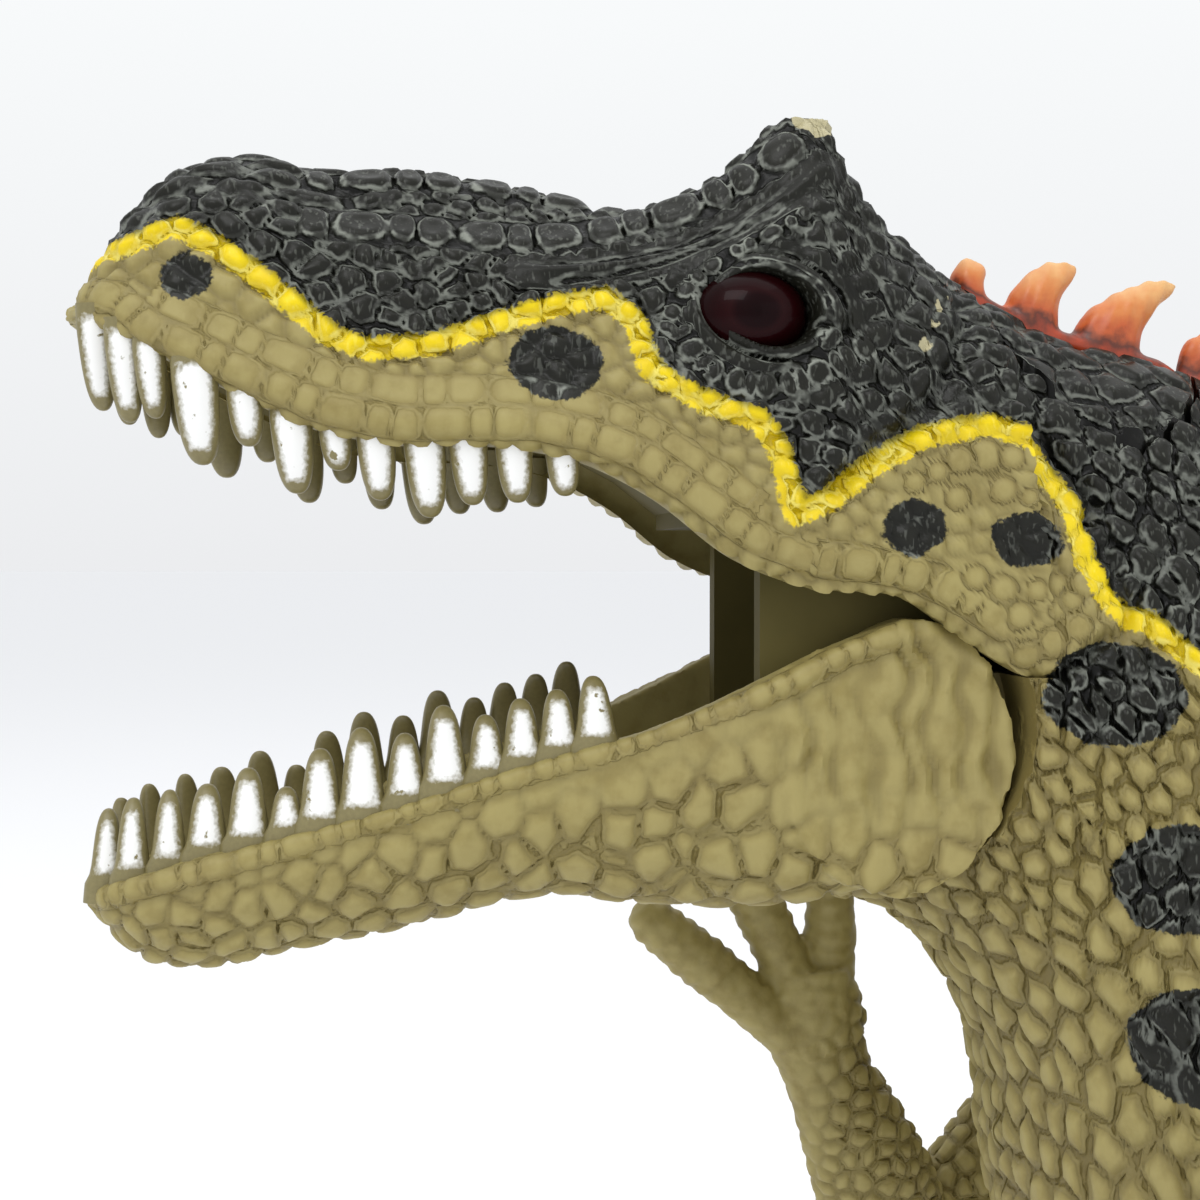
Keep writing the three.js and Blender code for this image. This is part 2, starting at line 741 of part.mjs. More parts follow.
const crestHalfThick = 1.5;
const crestSink = 1.6;

// Spine button: the saddle of the neck behind the skull, which presses the jaw's crank.
const buttonFront = -0.5645 * bodyLength;
const buttonBack = -0.437 * bodyLength;
const buttonHalfWidth = 10.6;
const buttonThickness = 3;
const buttonSpines = [3.6, 5.2, 5.4];

function buttonFootprint(grow) {
  const oval = new THREE.Shape();
  const middle = (buttonFront + buttonBack) / 2;
  oval.absellipse(middle, 0, (buttonBack - buttonFront) / 2 + grow, buttonHalfWidth + grow, 0, fullTurn);
  const options = { depth: bodyHeight, bevelEnabled: false, curveSegments: 12 };
  const prism = new THREE.ExtrudeGeometry(oval, options);
  return solid(prism, place(0, 0, hipHeight + bodyHeight * 0.33));
}

function makeButton() {
  const lowered = trunkOuter.translate([0, 0, -buttonThickness]);
  let button = trunkOuter.intersect(buttonFootprint(0)).subtract(lowered);
  const skirtX = lerp(buttonFront, buttonBack, 0.3);
  const skirtZ = backTopZ(skirtX) - buttonThickness;
  const footX = hingeX + crankReach;
  const footZ = hingeZ + crankRise + leverThickness / 2 + runningGap;
  const stem = sideSlab(
    [
      [footX - leverThickness / 2, footZ + leverThickness / 4],
      [footX - leverThickness / 4, footZ],
      [footX + leverThickness / 2, footZ],
      [skirtX + leverThickness, skirtZ - leverThickness],
      [skirtX + leverThickness, skirtZ + buttonThickness / 2],
      [skirtX - leverThickness, skirtZ + buttonThickness / 2],
      [footX - leverThickness / 2, footZ + leverThickness * 2],
    ],
    -leverThickness / 2,
    leverThickness / 2,
  );
  const spineEdges = [0.03, 0.28, 0.62, 0.96].map((share) => lerp(buttonFront, buttonBack, share));
  const spines = spineStrip(spineEdges, buttonSpines, crestSink, crestHalfThick);
  addPiece("spine_button", joined([button, stem, spines]), darkVinyl);
}

// Back crest: the long strip of spines set in a groove between the shells.
const backSpines = [6, 8, 9.5, 10.5, 11, 10.5, 9.5, 8, 6.5, 5];
const crestFront = buttonBack + runningGap;
const crestBack = tailRootX - seatGap;

function crestEdges(count) {
  return Array.from({ length: count + 1 }, (_, i) => lerp(crestFront, crestBack, i / count));
}

function makeCrest() {
  const strip = spineStrip(crestEdges(backSpines.length), backSpines, crestSink, crestHalfThick);
  const ahead = box(-bodyLength, crestBack, -bodyWidth, bodyWidth, 0, hipHeight * 2);
  addPiece("back_crest", strip.intersect(ahead), orangeVinyl);
}

function crestGroove() {
  const points = [];
  const steps = 12;
  for (let i = 0; i <= steps; i++) {
    const x = lerp(crestFront - seatGap, tailRootX + seatGap, i / steps);
    points.push([x, backTopZ(Math.min(x, tailRootX)) - crestSink - seatGap]);
  }
  points.push([tailRootX + seatGap, hipHeight + bodyHeight]);
  points.push([crestFront - seatGap, hipHeight + bodyHeight]);
  return sideSlab(points, -crestHalfThick - seatGap, crestHalfThick + seatGap);
}

// Shoulders and hips
const shoulderX = -0.414 * bodyLength;
const shoulderZ = hipHeight - 0.235 * bodyHeight;
const shoulderPegRadius = 2.8;
const shoulderFace = 0.4568 * bodyWidth;
const shoulderBossRadius = 6;
const hipX = 0;
const hipPegRadius = 4.2;
const hipFace = 0.4636 * bodyWidth;
const hipBossRadius = 11;
const bossDepth = 6;
const washerThickness = 1.6;
const pegOverhang = 1;

// Screws that hold the two shells together, in from the right side.
const screwShares = [
  [-0.47, 0.3],
  [-0.3, -0.27],
  [-0.27, 0.22],
  [-0.1, -0.26],
  [0.13, 0.16],
  [0.24, -0.06],
];
const screwSpots = screwShares.map(([u, v]) => [u * bodyLength, hipHeight + v * bodyHeight]);
const screwRadius = 1.2;
const screwHeadRadius = 2.4;
const screwBossRadius = 3.6;
const screwHeadDepth = 1.6;
const screwLength = 13;

function shellSolid() {
  const high = seamTopZ + cutOverrun * 2;
  const headBay = sideSlab(
    [
      [headX(1), hingeZ - jawDiscRadius * 0.8],
      [hingeX + pinRadius * 2, hingeZ - jawDiscRadius * 0.8],
      [frameBackX + runningGap, hingeZ - jawDiscRadius * 0.5],
      [frameBackX + runningGap, seamLowZ - seatGap * 2],
      [seamX(seamLowZ - seatGap, 0), seamLowZ - seatGap * 2],
      [seamX(high, 0), high],
      [headX(1), high],
    ],
    -bodyWidth,
    bodyWidth,
  );
  const discRoom = (grow, inner) => {
    const outline = discOutline(jawClosingDegrees, grow);
    return sideSlab(outline, inner, bodyWidth).add(sideSlab(outline, -bodyWidth, -inner));
  };
  const hollow = trunkHollow().subtract(discRoom(runningGap + shellWall, yokeOuter - shellWall));
  let shell = trunkOuter.subtract(hollow).subtract(discRoom(runningGap, yokeOuter));
  for (const side of [-1, 1]) {
    const along = (near, far) => (side < 0 ? [-far, -near] : [near, far]);
    const shoulderBoss = along(shoulderFace - bossDepth, shoulderFace);
    const shoulder = barY(shoulderBossRadius, shoulderX, shoulderZ, ...shoulderBoss);
    const hip = barY(hipBossRadius, hipX, hipHeight, ...along(hipFace - bossDepth, hipFace), roundSides);
    const washerRadius = shoulderPegRadius * 1.8 + seatGap;
    const shoulderRoom = barY(washerRadius, shoulderX, shoulderZ, ...along(0, shoulderFace - bossDepth));
    const hipRoom = barY(hipPegRadius * 1.8 + seatGap, hipX, hipHeight, ...along(0, hipFace - bossDepth));
    shell = joined([shell.subtract(shoulderRoom).subtract(hipRoom), shoulder, hip]);
    shell = shell.subtract(barY(shoulderPegRadius + seatGap, shoulderX, shoulderZ, ...along(0, bodyWidth)));
    shell = shell.subtract(barY(hipPegRadius + seatGap, hipX, hipHeight, ...along(0, bodyWidth)));
  }
  for (const [x, z] of screwSpots) {
    const boss = barY(screwBossRadius, x, z, -bodyWidth, bodyWidth, 12).intersect(trunkOuter);
    shell = shell.add(boss);
  }
  shell = shell.subtract(headBay).subtract(crestGroove()).subtract(buttonFootprint(runningGap));
  const boreFront = tailRootX - bodyLength / 4;
  return shell.subtract(barX(tailPegRadius + seatGap, 0, tailRootZ, boreFront, tailRootX + cutOverrun));
}

const tailRow = trunkSliceShares.at(-1);
const tailRootZ = hipHeight + ((tailRow[1] + tailRow[3]) / 2) * bodyHeight;
const tailRootHalfHeight = ((tailRow[1] - tailRow[3]) / 2) * bodyHeight;
const tailRootHalfWidth = (tailRow[4] * bodyWidth) / 2;
const tailPegRadius = 5;

// How far out the trunk's surface lies from the middle at a place in side view.
function surfaceY(x, z) {
  const probe = barY(screwRadius / 4, x, z, 0, bodyWidth, 6).intersect(trunkOuter);
  return probe.boundingBox().max[1];
}

function makeShells() {
  const shell = shellSolid();
  const far = bodyWidth * 2;
  const half = (side) => {
    const [from, to] = side < 0 ? [-bodyWidth, -seatGap / 2] : [seatGap / 2, bodyWidth];
    return box(-far, far, from, to, 0, hipHeight * 2);
  };
  let right = shell.intersect(half(1));
  let left = shell.intersect(half(-1));
  screwSpots.forEach(([x, z], i) => {
    const out = surfaceY(x, z);
    const seat = out - screwHeadDepth * 2.5;
    right = right.subtract(barY(screwHeadRadius + seatGap, x, z, seat, bodyWidth, 12));
    right = right.subtract(barY(screwRadius + seatGap, x, z, 0, bodyWidth, 8));
    left = left.subtract(barY(screwRadius + seatGap, x, z, seat - screwLength - seatGap, 0, 8));
    const screw = joined([
      barY(screwHeadRadius, x, z, seat + seatGap, seat + seatGap + screwHeadDepth, 12),
      barY(screwRadius, x, z, seat - screwLength, seat + seatGap * 2, 8),
    ]);
    const slot = screwHeadRadius * 0.7;
    const depth = seat + screwHeadDepth / 2 + seatGap;
    const cross = joined([
      box(x - slot, x + slot, depth, bodyWidth, z - slot / 4, z + slot / 4),
      box(x - slot / 4, x + slot / 4, depth, bodyWidth, z - slot, z + slot),
    ]);
    addPiece(`body_screw_${i + 1}`, screw.subtract(cross), springSteel);
  });
  addPiece("body_shell_left", left, oliveVinyl);
  addPiece("body_shell_right", right, oliveVinyl);
}

// A washer with a hole, on a peg along Y.
function washerY(x, z, outer, inner, from, to) {
  return barY(outer, x, z, from, to).subtract(barY(inner, x, z, from - cutOverrun, to + cutOverrun));
}

// Limb helpers
// A limb is a loft of oval slices along a path. Each row is [x, y, z, half depth, half width].
function limb(rows, sides, steps = 1) {
  const smooth = smoothRows(rows, steps);
  const rings = smooth.map(([x, y, z, deep, wide], i) => {
    const ahead = smooth[Math.min(i + 1, smooth.length - 1)];
    const behind = smooth[Math.max(i - 1, 0)];
    const along = new THREE.Vector3(ahead[0] - behind[0], 0, ahead[2] - behind[2]).normalize();
    const across = new THREE.Vector3(along.z, 0, -along.x);
    const ring = [];
    for (let k = 0; k < sides; k++) {
      const turn = (fullTurn * k) / sides;
      const p = new THREE.Vector3(x, y, z).addScaledVector(across, deep * Math.cos(turn));
      p.y += wide * Math.sin(turn);
      ring.push(p);
    }
    return ring;
  });
  return loft(rings);
}

// Arms
// Places are shares of the arm's reach from the shoulder, with the arm raised.
// Widths are shares of its thickness.
const armSliceShares = [
  [0.14, 0.1, 0.26, 0.5, 0.3],
  [0.04, 0.1, 0.06, 0.78, 0.46],
  [-0.12, 0.08, -0.1, 0.75, 0.48],
  [-0.28, 0.05, -0.24, 0.66, 0.46],
  [-0.42, 0.02, -0.33, 0.58, 0.44],
];
const forearmSliceShares = [
  [-0.39, 0.02, -0.42, 0.4, 0.36],
  [-0.43, 0.01, -0.32, 0.66, 0.46],
  [-0.49, -0.04, -0.15, 0.66, 0.44],
  [-0.56, -0.08, 0.01, 0.56, 0.4],
  [-0.62, -0.1, 0.14, 0.46, 0.34],
  [-0.65, -0.11, 0.25, 0.55, 0.36],
  [-0.66, -0.12, 0.36, 0.44, 0.3],
];
const fingerTipShares = [
  [-1.02, -0.16, 0.49],
  [-0.83, -0.12, 0.62],
  [-0.61, -0.1, 0.54],
];
const fingerRootShares = [
  [-0.7, -0.12, 0.22],
  [-0.67, -0.11, 0.28],
  [-0.615, -0.1, 0.24],
];
const fingerRadius = 2.15;
const armLoweringDegrees = 62;

function armSolid(side) {
  const rows = (table) =>
    table.map(([u, out, v, deep, wide]) => [
      u * armReach,
      side * (shoulderFace + seatGap + armThickness * 0.46 + out * armReach),
      v * armReach,
      deep * armThickness,
      wide * armThickness,
    ]);
  const upper = limb(rows(armSliceShares), 12);
  const lower = limb(rows(forearmSliceShares), 12);
  const base = side * (shoulderFace + seatGap + armThickness * 0.46);
  const fingers = fingerTipShares.map(([u, out, v], i) => {
    const [ru, rout, rv] = fingerRootShares[i];
    const at = (t, size) => [
      lerp(ru, u, t) * armReach,
      base + side * lerp(rout, out, t) * armReach,
      lerp(rv, v, t) * armReach,
      size * fingerRadius,
      size * fingerRadius,
    ];
    const knuckles = [at(0, 1.1), at(0.35, 1), at(0.6, 1.04)];
    return limb([...knuckles, at(0.82, 0.86), at(0.95, 0.6), at(1.06, 0.16)], 8);
  });
  const hubFrom = side * (shoulderFace + seatGap);
  const hub = barY(armThickness * 0.8, 0, 0, Math.min(hubFrom, base), Math.max(hubFrom, base));
  const pegEnd = side * (shoulderFace - bossDepth - washerThickness - pegOverhang - seatGap);
  const peg = barY(shoulderPegRadius, 0, 0, Math.min(pegEnd, base), Math.max(pegEnd, base));
  const face = shoulderFace + seatGap;
  const cutHigh = armReach / 2.6;
  const shoulderOnly = upper.subtract(box(-armReach, armReach, -face, face, -cutHigh, cutHigh));
  return joined([shoulderOnly, lower, ...fingers, hub, peg]);
}

function makeArms() {
  for (const [name, side, turn] of [
    ["left", -1, -armLoweringDegrees],
    ["right", 1, 0],
  ]) {
    const turned = armSolid(side).rotate([0, turn, 0]).translate([shoulderX, 0, shoulderZ]);
    addPiece(`arm_${name}`, turned, oliveVinyl);
    const near = shoulderFace - bossDepth - seatGap;
    const [from, to] = side < 0 ? [-near, -near + washerThickness] : [near - washerThickness, near];
    const [outer, inner] = [shoulderPegRadius * 1.8, shoulderPegRadius + seatGap / 2];
    const ring = washerY(shoulderX, shoulderZ, outer, inner, from, to);
    addPiece(`shoulder_washer_${name}`, ring, mechanismPlastic);
  }
}

// Legs
// Places are shares of the hip's height down to the ground and of the leg's reach fore and aft.
const legSliceShares = [
  [0.06, 1.175, 0.3, 0.16],
  [0.04, 1.14, 0.72, 0.3],
  [0.0, 1.05, 0.98, 0.42],
  [-0.07, 0.94, 1.0, 0.48],
  [-0.18, 0.83, 0.9, 0.48],
  [-0.33, 0.735, 0.72, 0.45],
  [-0.44, 0.65, 0.58, 0.41],
  [-0.42, 0.565, 0.5, 0.37],
  [-0.27, 0.475, 0.45, 0.34],
  [-0.09, 0.385, 0.35, 0.27],
  [0.05, 0.3, 0.27, 0.24],
  [0.06, 0.225, 0.26, 0.24],
  [-0.05, 0.15, 0.27, 0.28],
  [-0.18, 0.08, 0.31, 0.35],
  [-0.26, 0.03, 0.33, 0.4],
  [-0.28, -0.04, 0.3, 0.38],
];
const toeShares = [
  [-0.92, -0.5],
  [-1.08, 0.04],
  [-0.88, 0.54],
];
const heelShare = [0.14, 0];
const toeRadius = 5;
const legOutShare = 0.37;

function toe(fromX, y, toX, toY, radius) {
  const at = (t, high, size) => [
    lerp(fromX, toX, t),
    lerp(y, toY, t),
    high * radius,
    size * radius,
    size * radius,
  ];
  const root = [at(0, 1.1, 0.9), at(0.25, 0.7, 0.95), at(0.5, 0.6, 0.8)];
  const claw = [at(0.68, 0.6, 0.85), at(0.84, 0.45, 0.6), at(0.98, 0.2, 0.3), at(1.06, 0.08, 0.08)];
  return limb([...root, ...claw], 8);
}

function legSolid(side) {
  const mid = side * (hipFace + seatGap + legOutShare * legThickness);
  const rows = legSliceShares.map(([u, v, deep, wide]) => [
    u * legReach,
    mid,
    v * hipHeight,
    deep * legThickness,
    wide * legThickness,
  ]);
  const shaft = limb(rows, 10, 2);
  const footX = -0.22 * legReach;
  const toes = toeShares.map(([u, out]) => {
    const tipY = mid + side * out * legThickness;
    return toe(footX, mid, u * legReach, tipY, toeRadius);
  });
  const heel = toe(footX, mid, heelShare[0] * legReach, mid, toeRadius * 0.85);
  const face = hipFace + seatGap;
  const inside = side * (hipFace - bossDepth - washerThickness - pegOverhang - seatGap);
  const hubFrom = side * face;
  const hub = barY(hipBossRadius, 0, hipHeight, Math.min(hubFrom, mid), Math.max(hubFrom, mid), roundSides);
  const peg = barY(hipPegRadius, 0, hipHeight, Math.min(inside, mid), Math.max(inside, mid));
  const trunkSide = box(-bodyLength, bodyLength, -face, face, hipHeight / 2, hipHeight * 2);
  const below = box(-bodyLength, bodyLength, -bodyLength, bodyLength, -hipHeight, 0);
  const outside = joined([shaft, ...toes, heel]).subtract(trunkSide).subtract(below);
  return joined([outside, hub, peg]);
}

function makeLegs() {
  for (const [name, side] of [
    ["left", -1],
    ["right", 1],
  ]) {
    addPiece(`leg_${name}`, legSolid(side).translate([hipX, 0, 0]), oliveVinyl);
    const near = hipFace - bossDepth - seatGap;
    const [from, to] = side < 0 ? [-near, -near + washerThickness] : [near - washerThickness, near];
    const ring = washerY(hipX, hipHeight, hipPegRadius * 1.8, hipPegRadius + seatGap / 2, from, to);
    addPiece(`hip_washer_${name}`, ring, mechanismPlastic);
  }
}

// Tail
// Each row is a slice: length share, rise share, and shares of the root's half height and half width.
const tailSliceShares = [
  [0, 0, 1, 1],
  [0.12, -0.18, 0.88, 0.86],
  [0.3, -0.4, 0.7, 0.66],
  [0.5, -0.48, 0.53, 0.48],
  [0.68, -0.38, 0.38, 0.34],
  [0.83, -0.12, 0.24, 0.22],
  [0.94, 0.2, 0.12, 0.11],
  [1, 0.42, 0.03, 0.03],
];
const tailSides = 18;

function makeTail() {
  const rings = (rows, wall) =>
    rows.map(([u, rise, high, wide]) => {
      const ring = [];
      for (let i = 0; i < tailSides; i++) {
        const turn = (fullTurn * i) / tailSides;
        ring.push(
          new THREE.Vector3(
            tailRootX + seatGap + u * tailLength,
            -Math.sin(turn) * (wide * tailRootHalfWidth - wall),
            tailRootZ + rise * tailRise + Math.cos(turn) * (high * tailRootHalfHeight - wall),
          ),
        );
      }
      return ring;
    });
  const pegEnd = tailRootX - tailEndWall - washerThickness - pegOverhang - seatGap;
  const outer = loft(rings(smoothRows(tailSliceShares, 2), 0));
  const inside = rings(tailSliceShares.slice(0, 5), tailWall);
  const mouth = inside[0].map((p) => p.clone().setX(p.x - cutOverrun));
  const webLength = tailPegRadius * 2;
  const rootX = tailRootX + seatGap;
  const web = box(rootX, rootX + webLength, -tailWall, tailWall, 0, hipHeight * 2).intersect(outer);
  const tail = joined([
    outer.subtract(loft([mouth, ...inside])),
    web,
    barX(tailPegRadius, 0, tailRootZ, pegEnd, rootX + webLength),
  ]);
  addPiece("tail", tail, oliveVinyl);
  const face = tailRootX - tailEndWall - seatGap;
  const ring = barX(tailPegRadius * 1.6, 0, tailRootZ, face - washerThickness, face);
  const holeFront = face - washerThickness - cutOverrun;
  const hole = barX(tailPegRadius + seatGap / 2, 0, tailRootZ, holeFront, face + cutOverrun);
  addPiece("tail_washer", ring.subtract(hole), mechanismPlastic);
}

makeSkull();
makeMouthFrame();
makeJaw();
makeLever();
makeSpring();
makeButton();
makeCrest();
makeShells();
makeArms();
makeLegs();
makeTail();

// The figure's own frame has its origin under the middle of the figure, on the ground.
const extent = new THREE.Box3().setFromObject(figure);
figure.position.set(-(extent.min.x + extent.max.x) / 2, 0, -extent.min.z);

export default figure;
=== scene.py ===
import json
import math

import bpy
import numpy as np
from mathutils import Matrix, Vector, noise
from mathutils.kdtree import KDTree


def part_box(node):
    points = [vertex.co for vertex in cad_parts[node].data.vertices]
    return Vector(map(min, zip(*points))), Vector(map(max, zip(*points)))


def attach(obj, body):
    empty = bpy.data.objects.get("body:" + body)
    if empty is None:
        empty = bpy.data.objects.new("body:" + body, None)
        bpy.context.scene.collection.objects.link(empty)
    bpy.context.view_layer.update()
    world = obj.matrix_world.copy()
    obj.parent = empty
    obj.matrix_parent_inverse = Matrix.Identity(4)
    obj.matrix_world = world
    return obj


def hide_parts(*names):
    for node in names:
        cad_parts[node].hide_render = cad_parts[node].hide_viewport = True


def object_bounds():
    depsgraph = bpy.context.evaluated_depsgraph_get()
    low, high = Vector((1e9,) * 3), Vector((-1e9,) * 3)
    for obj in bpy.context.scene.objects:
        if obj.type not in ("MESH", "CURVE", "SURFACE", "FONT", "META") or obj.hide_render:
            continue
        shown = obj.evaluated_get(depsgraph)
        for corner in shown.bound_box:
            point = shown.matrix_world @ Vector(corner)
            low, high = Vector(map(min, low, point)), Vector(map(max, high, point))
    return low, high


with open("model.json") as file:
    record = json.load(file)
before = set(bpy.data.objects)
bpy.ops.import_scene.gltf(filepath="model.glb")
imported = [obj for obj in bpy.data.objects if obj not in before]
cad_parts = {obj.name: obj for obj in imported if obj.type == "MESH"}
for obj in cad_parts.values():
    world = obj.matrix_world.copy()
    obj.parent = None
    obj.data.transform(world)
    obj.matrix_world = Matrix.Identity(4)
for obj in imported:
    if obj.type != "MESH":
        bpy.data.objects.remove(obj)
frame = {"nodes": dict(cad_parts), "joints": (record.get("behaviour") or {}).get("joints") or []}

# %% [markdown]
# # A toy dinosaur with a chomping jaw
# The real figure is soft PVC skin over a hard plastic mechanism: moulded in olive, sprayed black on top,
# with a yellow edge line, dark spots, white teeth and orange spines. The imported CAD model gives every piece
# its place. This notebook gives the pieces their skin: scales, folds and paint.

cad_box = [list(corner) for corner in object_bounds()]
MM = 0.001
joints = {joint["name"]: joint for joint in frame["joints"]}
hip = np.array(joints["left_hip"]["pos_m"]) / MM
hinge = np.array(joints["jaw_hinge"]["pos_m"]) / MM
shoulder = np.array(joints["left_shoulder"]["pos_m"]) / MM
origin = np.array([hip[0], 0, 0])
print("CAD box in mm:", [[round(v / MM, 1) for v in corner] for corner in cad_box])

# %% [markdown]
# ## Driving sizes
# The sizes are the same as the CAD model's, in millimetres, so that the skin lies on the solids. Places along
# the figure are counted from the hip, and places in the head are shares of its length and height.

# %% Driving sizes in millimetres
HEAD_LENGTH, HEAD_HEIGHT, HALF_HEAD = 68.5, 38.5, 15.6
BODY_LENGTH, BODY_HEIGHT, BODY_WIDTH = 140, 90, 44
HIP_HEIGHT = hip[2]
TAIL_LENGTH, TAIL_RISE = 135, 14
LEG_REACH, LEG_THICKNESS = 44, 20
ARM_REACH, ARM_THICKNESS = 41, 8.4
SHELL_WALL, SKULL_WALL, JAW_WALL, TAIL_WALL = 1.9, 1.8, 2.1, 2.2
SEAT_GAP, RUNNING_GAP = 0.3, 0.4
WASHER_THICKNESS, PEG_OVERHANG, TAIL_END_WALL = 1.6, 1, 3
# How far a cutter reaches past what it cuts, and a length beyond the whole figure.
OVERRUN, BEYOND = 6, 200
SEAM_TOP = (-0.571 * BODY_LENGTH, HIP_HEIGHT + 0.558 * BODY_HEIGHT)
SEAM_LOW = (-0.547 * BODY_LENGTH, HIP_HEIGHT + 0.239 * BODY_HEIGHT)
HEAD_BACK = -0.539 * BODY_LENGTH


def head_x(share):
    return HEAD_BACK - share * HEAD_LENGTH


def head_z(share):
    return SEAM_LOW[1] + share * HEAD_HEIGHT


def seam_x(z):
    return SEAM_LOW[0] + (SEAM_TOP[0] - SEAM_LOW[0]) * (z - SEAM_LOW[1]) / (SEAM_TOP[1] - SEAM_LOW[1])


print("snout tip", round(head_x(0.99), 1), "mm from the hip")

# %% [markdown]
# ## Smooth curves and lofts
# A loft is a skin drawn over a row of outlines, as ribs carry the planking of a boat. Few ribs are measured,
# and a Catmull-Rom curve passes smoothly through them, so the skin is fine without a long table.


# %% Curves through measured points
def through(points, at, closed=False):
    points = np.asarray(points, float)
    last = len(points)
    low = np.floor(at).astype(int)
    low = low if closed else np.clip(low, 0, last - 2)
    t = (at - low).reshape((-1,) + (1,) * (points.ndim - 1))

    def pick(index):
        return points[index % last if closed else np.clip(index, 0, last - 1)]

    a, b, c, d = pick(low - 1), pick(low), pick(low + 1), pick(low + 2)
    pull = (c - a) * t + (2 * a - 5 * b + 4 * c - d) * t**2
    return (2 * b + pull + (3 * b - a - 3 * c + d) * t**3) / 2


def evenly(points, count, closed=False):
    """The same line with count points at even distances."""
    line = np.vstack([points, points[:1]]) if closed else points
    run = np.concatenate([[0], np.cumsum(np.linalg.norm(np.diff(line, axis=0), axis=1))])
    at = np.linspace(0, run[-1], count + 1)[:-1] if closed else np.linspace(0, run[-1], count)
    return np.stack([np.interp(at, run, line[:, k]) for k in range(line.shape[1])], axis=1)


def full_turn(count):
    return np.linspace(0, 2 * math.pi, count, endpoint=False)


def smoothstep(low, high, value):
    t = np.clip((value - low) / (high - low), 0, 1)
    return t * t * (3 - 2 * t)


print("halfway between 0, 1, 4:", through([0, 1, 4], np.array([1.5])))


# %% Meshes from lofts, prisms and bars
def piece(name, points, faces):
    mesh = bpy.data.meshes.new(name)
    mesh.from_pydata(((np.asarray(points) + origin) * MM).tolist(), [], faces)
    made = bpy.data.objects.new(name, mesh)
    bpy.context.scene.collection.objects.link(made)
    return made


def facing_out(points, faces):
    """The faces, turned round if they enclose a negative volume."""
    points = np.asarray(points)
    corners = np.array([(f[0], f[i], f[i + 1]) for f in faces for i in range(1, len(f) - 1)])
    a, b, c = points[corners[:, 0]], points[corners[:, 1]], points[corners[:, 2]]
    volume = np.einsum("ij,ij->i", a, np.cross(b, c)).sum()
    return [list(f)[::-1] for f in faces] if volume < 0 else [list(f) for f in faces]


def belts(rows, count):
    """The faces between rows of points that close round, and the numbers of a row and of its neighbours."""
    i = np.arange(count)
    j = (i + 1) % count
    faces = []
    for row in range(rows - 1):
        a, b = row * count + i, row * count + j
        faces += np.stack([a, b, b + count, a + count], axis=1).tolist()
    return faces, i, j


def loft(name, rings):
    """A closed skin over rings of points, with a fan at each end."""
    rings = np.asarray(rings, float)
    rows, count = rings.shape[:2]
    points = rings.reshape(-1, 3)
    faces, i, j = belts(rows, count)
    hubs = [rings[0].mean(0), rings[-1].mean(0)]
    points = np.vstack([points, hubs])
    first, last = rows * count, (rows - 1) * count
    faces += np.stack([j, i, np.full(count, first)], axis=1).tolist()
    faces += np.stack([last + i, last + j, np.full(count, first + 1)], axis=1).tolist()
    return piece(name, points, facing_out(points, faces))


def side_slab(outline, y_from, y_to):
    outline = np.asarray(outline, float)
    count = len(outline)
    front = np.insert(outline, 1, y_from, axis=1)
    behind = np.insert(outline, 1, y_to, axis=1)
    faces = [[i, (i + 1) % count, count + (i + 1) % count, count + i] for i in range(count)]
    faces += [list(range(count))[::-1], list(range(count, 2 * count))]
    points = np.vstack([front, behind])
    return piece("slab", points, facing_out(points, faces))


def circle(radius, x, z, sides=40):
    turn = full_turn(sides)
    return np.stack([x + radius * np.cos(turn), z + radius * np.sin(turn)], axis=1)


def bar(radius, x, z, y_from, y_to):
    return side_slab(circle(radius, x, z), y_from, y_to)


def block(x_from, x_to, y_from, y_to, z_from, z_to):
    return side_slab([(x_from, z_from), (x_to, z_from), (x_to, z_to), (x_from, z_to)], y_from, y_to)


# %% [markdown]
# ## Cutting, fusing and reading meshes
# Hard edges, such as the split line of the two body halves, are cut with a Boolean. Soft joins, such as a
# finger on a hand, come from a voxel remesh, which melts overlapping solids into one skin, as clay does.


# %% Boolean cuts and voxel fusing
def apply(target):
    seen = target.evaluated_get(bpy.context.evaluated_depsgraph_get())
    mesh = bpy.data.meshes.new_from_object(seen)
    target.modifiers.clear()
    old, target.data = target.data, mesh
    mesh.name = target.name
    bpy.data.meshes.remove(old)
    return target


def discard(thing):
    mesh = thing.data
    bpy.data.objects.remove(thing)
    bpy.data.meshes.remove(mesh)


def boolean(target, other, operation, keep=False):
    cut = target.modifiers.new("cut", "BOOLEAN")
    cut.solver = "MANIFOLD"
    cut.operation = operation
    cut.object = other
    apply(target)
    if not keep:
        discard(other)
    return target


def union(parts):
    first = parts[0]
    for other in parts[1:]:
        boolean(first, other, "UNION")
    return first


def fused(name, parts, voxel, smoothing=2):
    """Overlapping closed parts melted into one skin of small square faces."""
    points, faces = [], []
    for part in parts:
        start = sum(len(p) for p in points)
        points.append(points_of(part))
        faces += [[start + v for v in face.vertices] for face in part.data.polygons]
        discard(part)
    whole = piece(name, np.vstack(points), faces)
    melt = whole.modifiers.new("melt", "REMESH")
    melt.mode = "VOXEL"
    melt.voxel_size = voxel * MM
    if smoothing:
        soften = whole.modifiers.new("soften", "SMOOTH")
        soften.factor = 0.5
        soften.iterations = smoothing
    return apply(whole)


# %% Reading and moving points
def points_of(thing):
    values = np.zeros(len(thing.data.vertices) * 3)
    thing.data.vertices.foreach_get("co", values)
    return values.reshape(-1, 3) / MM - origin


def normals_of(thing):
    values = np.zeros(len(thing.data.vertices) * 3)
    thing.data.vertices.foreach_get("normal", values)
    return values.reshape(-1, 3)


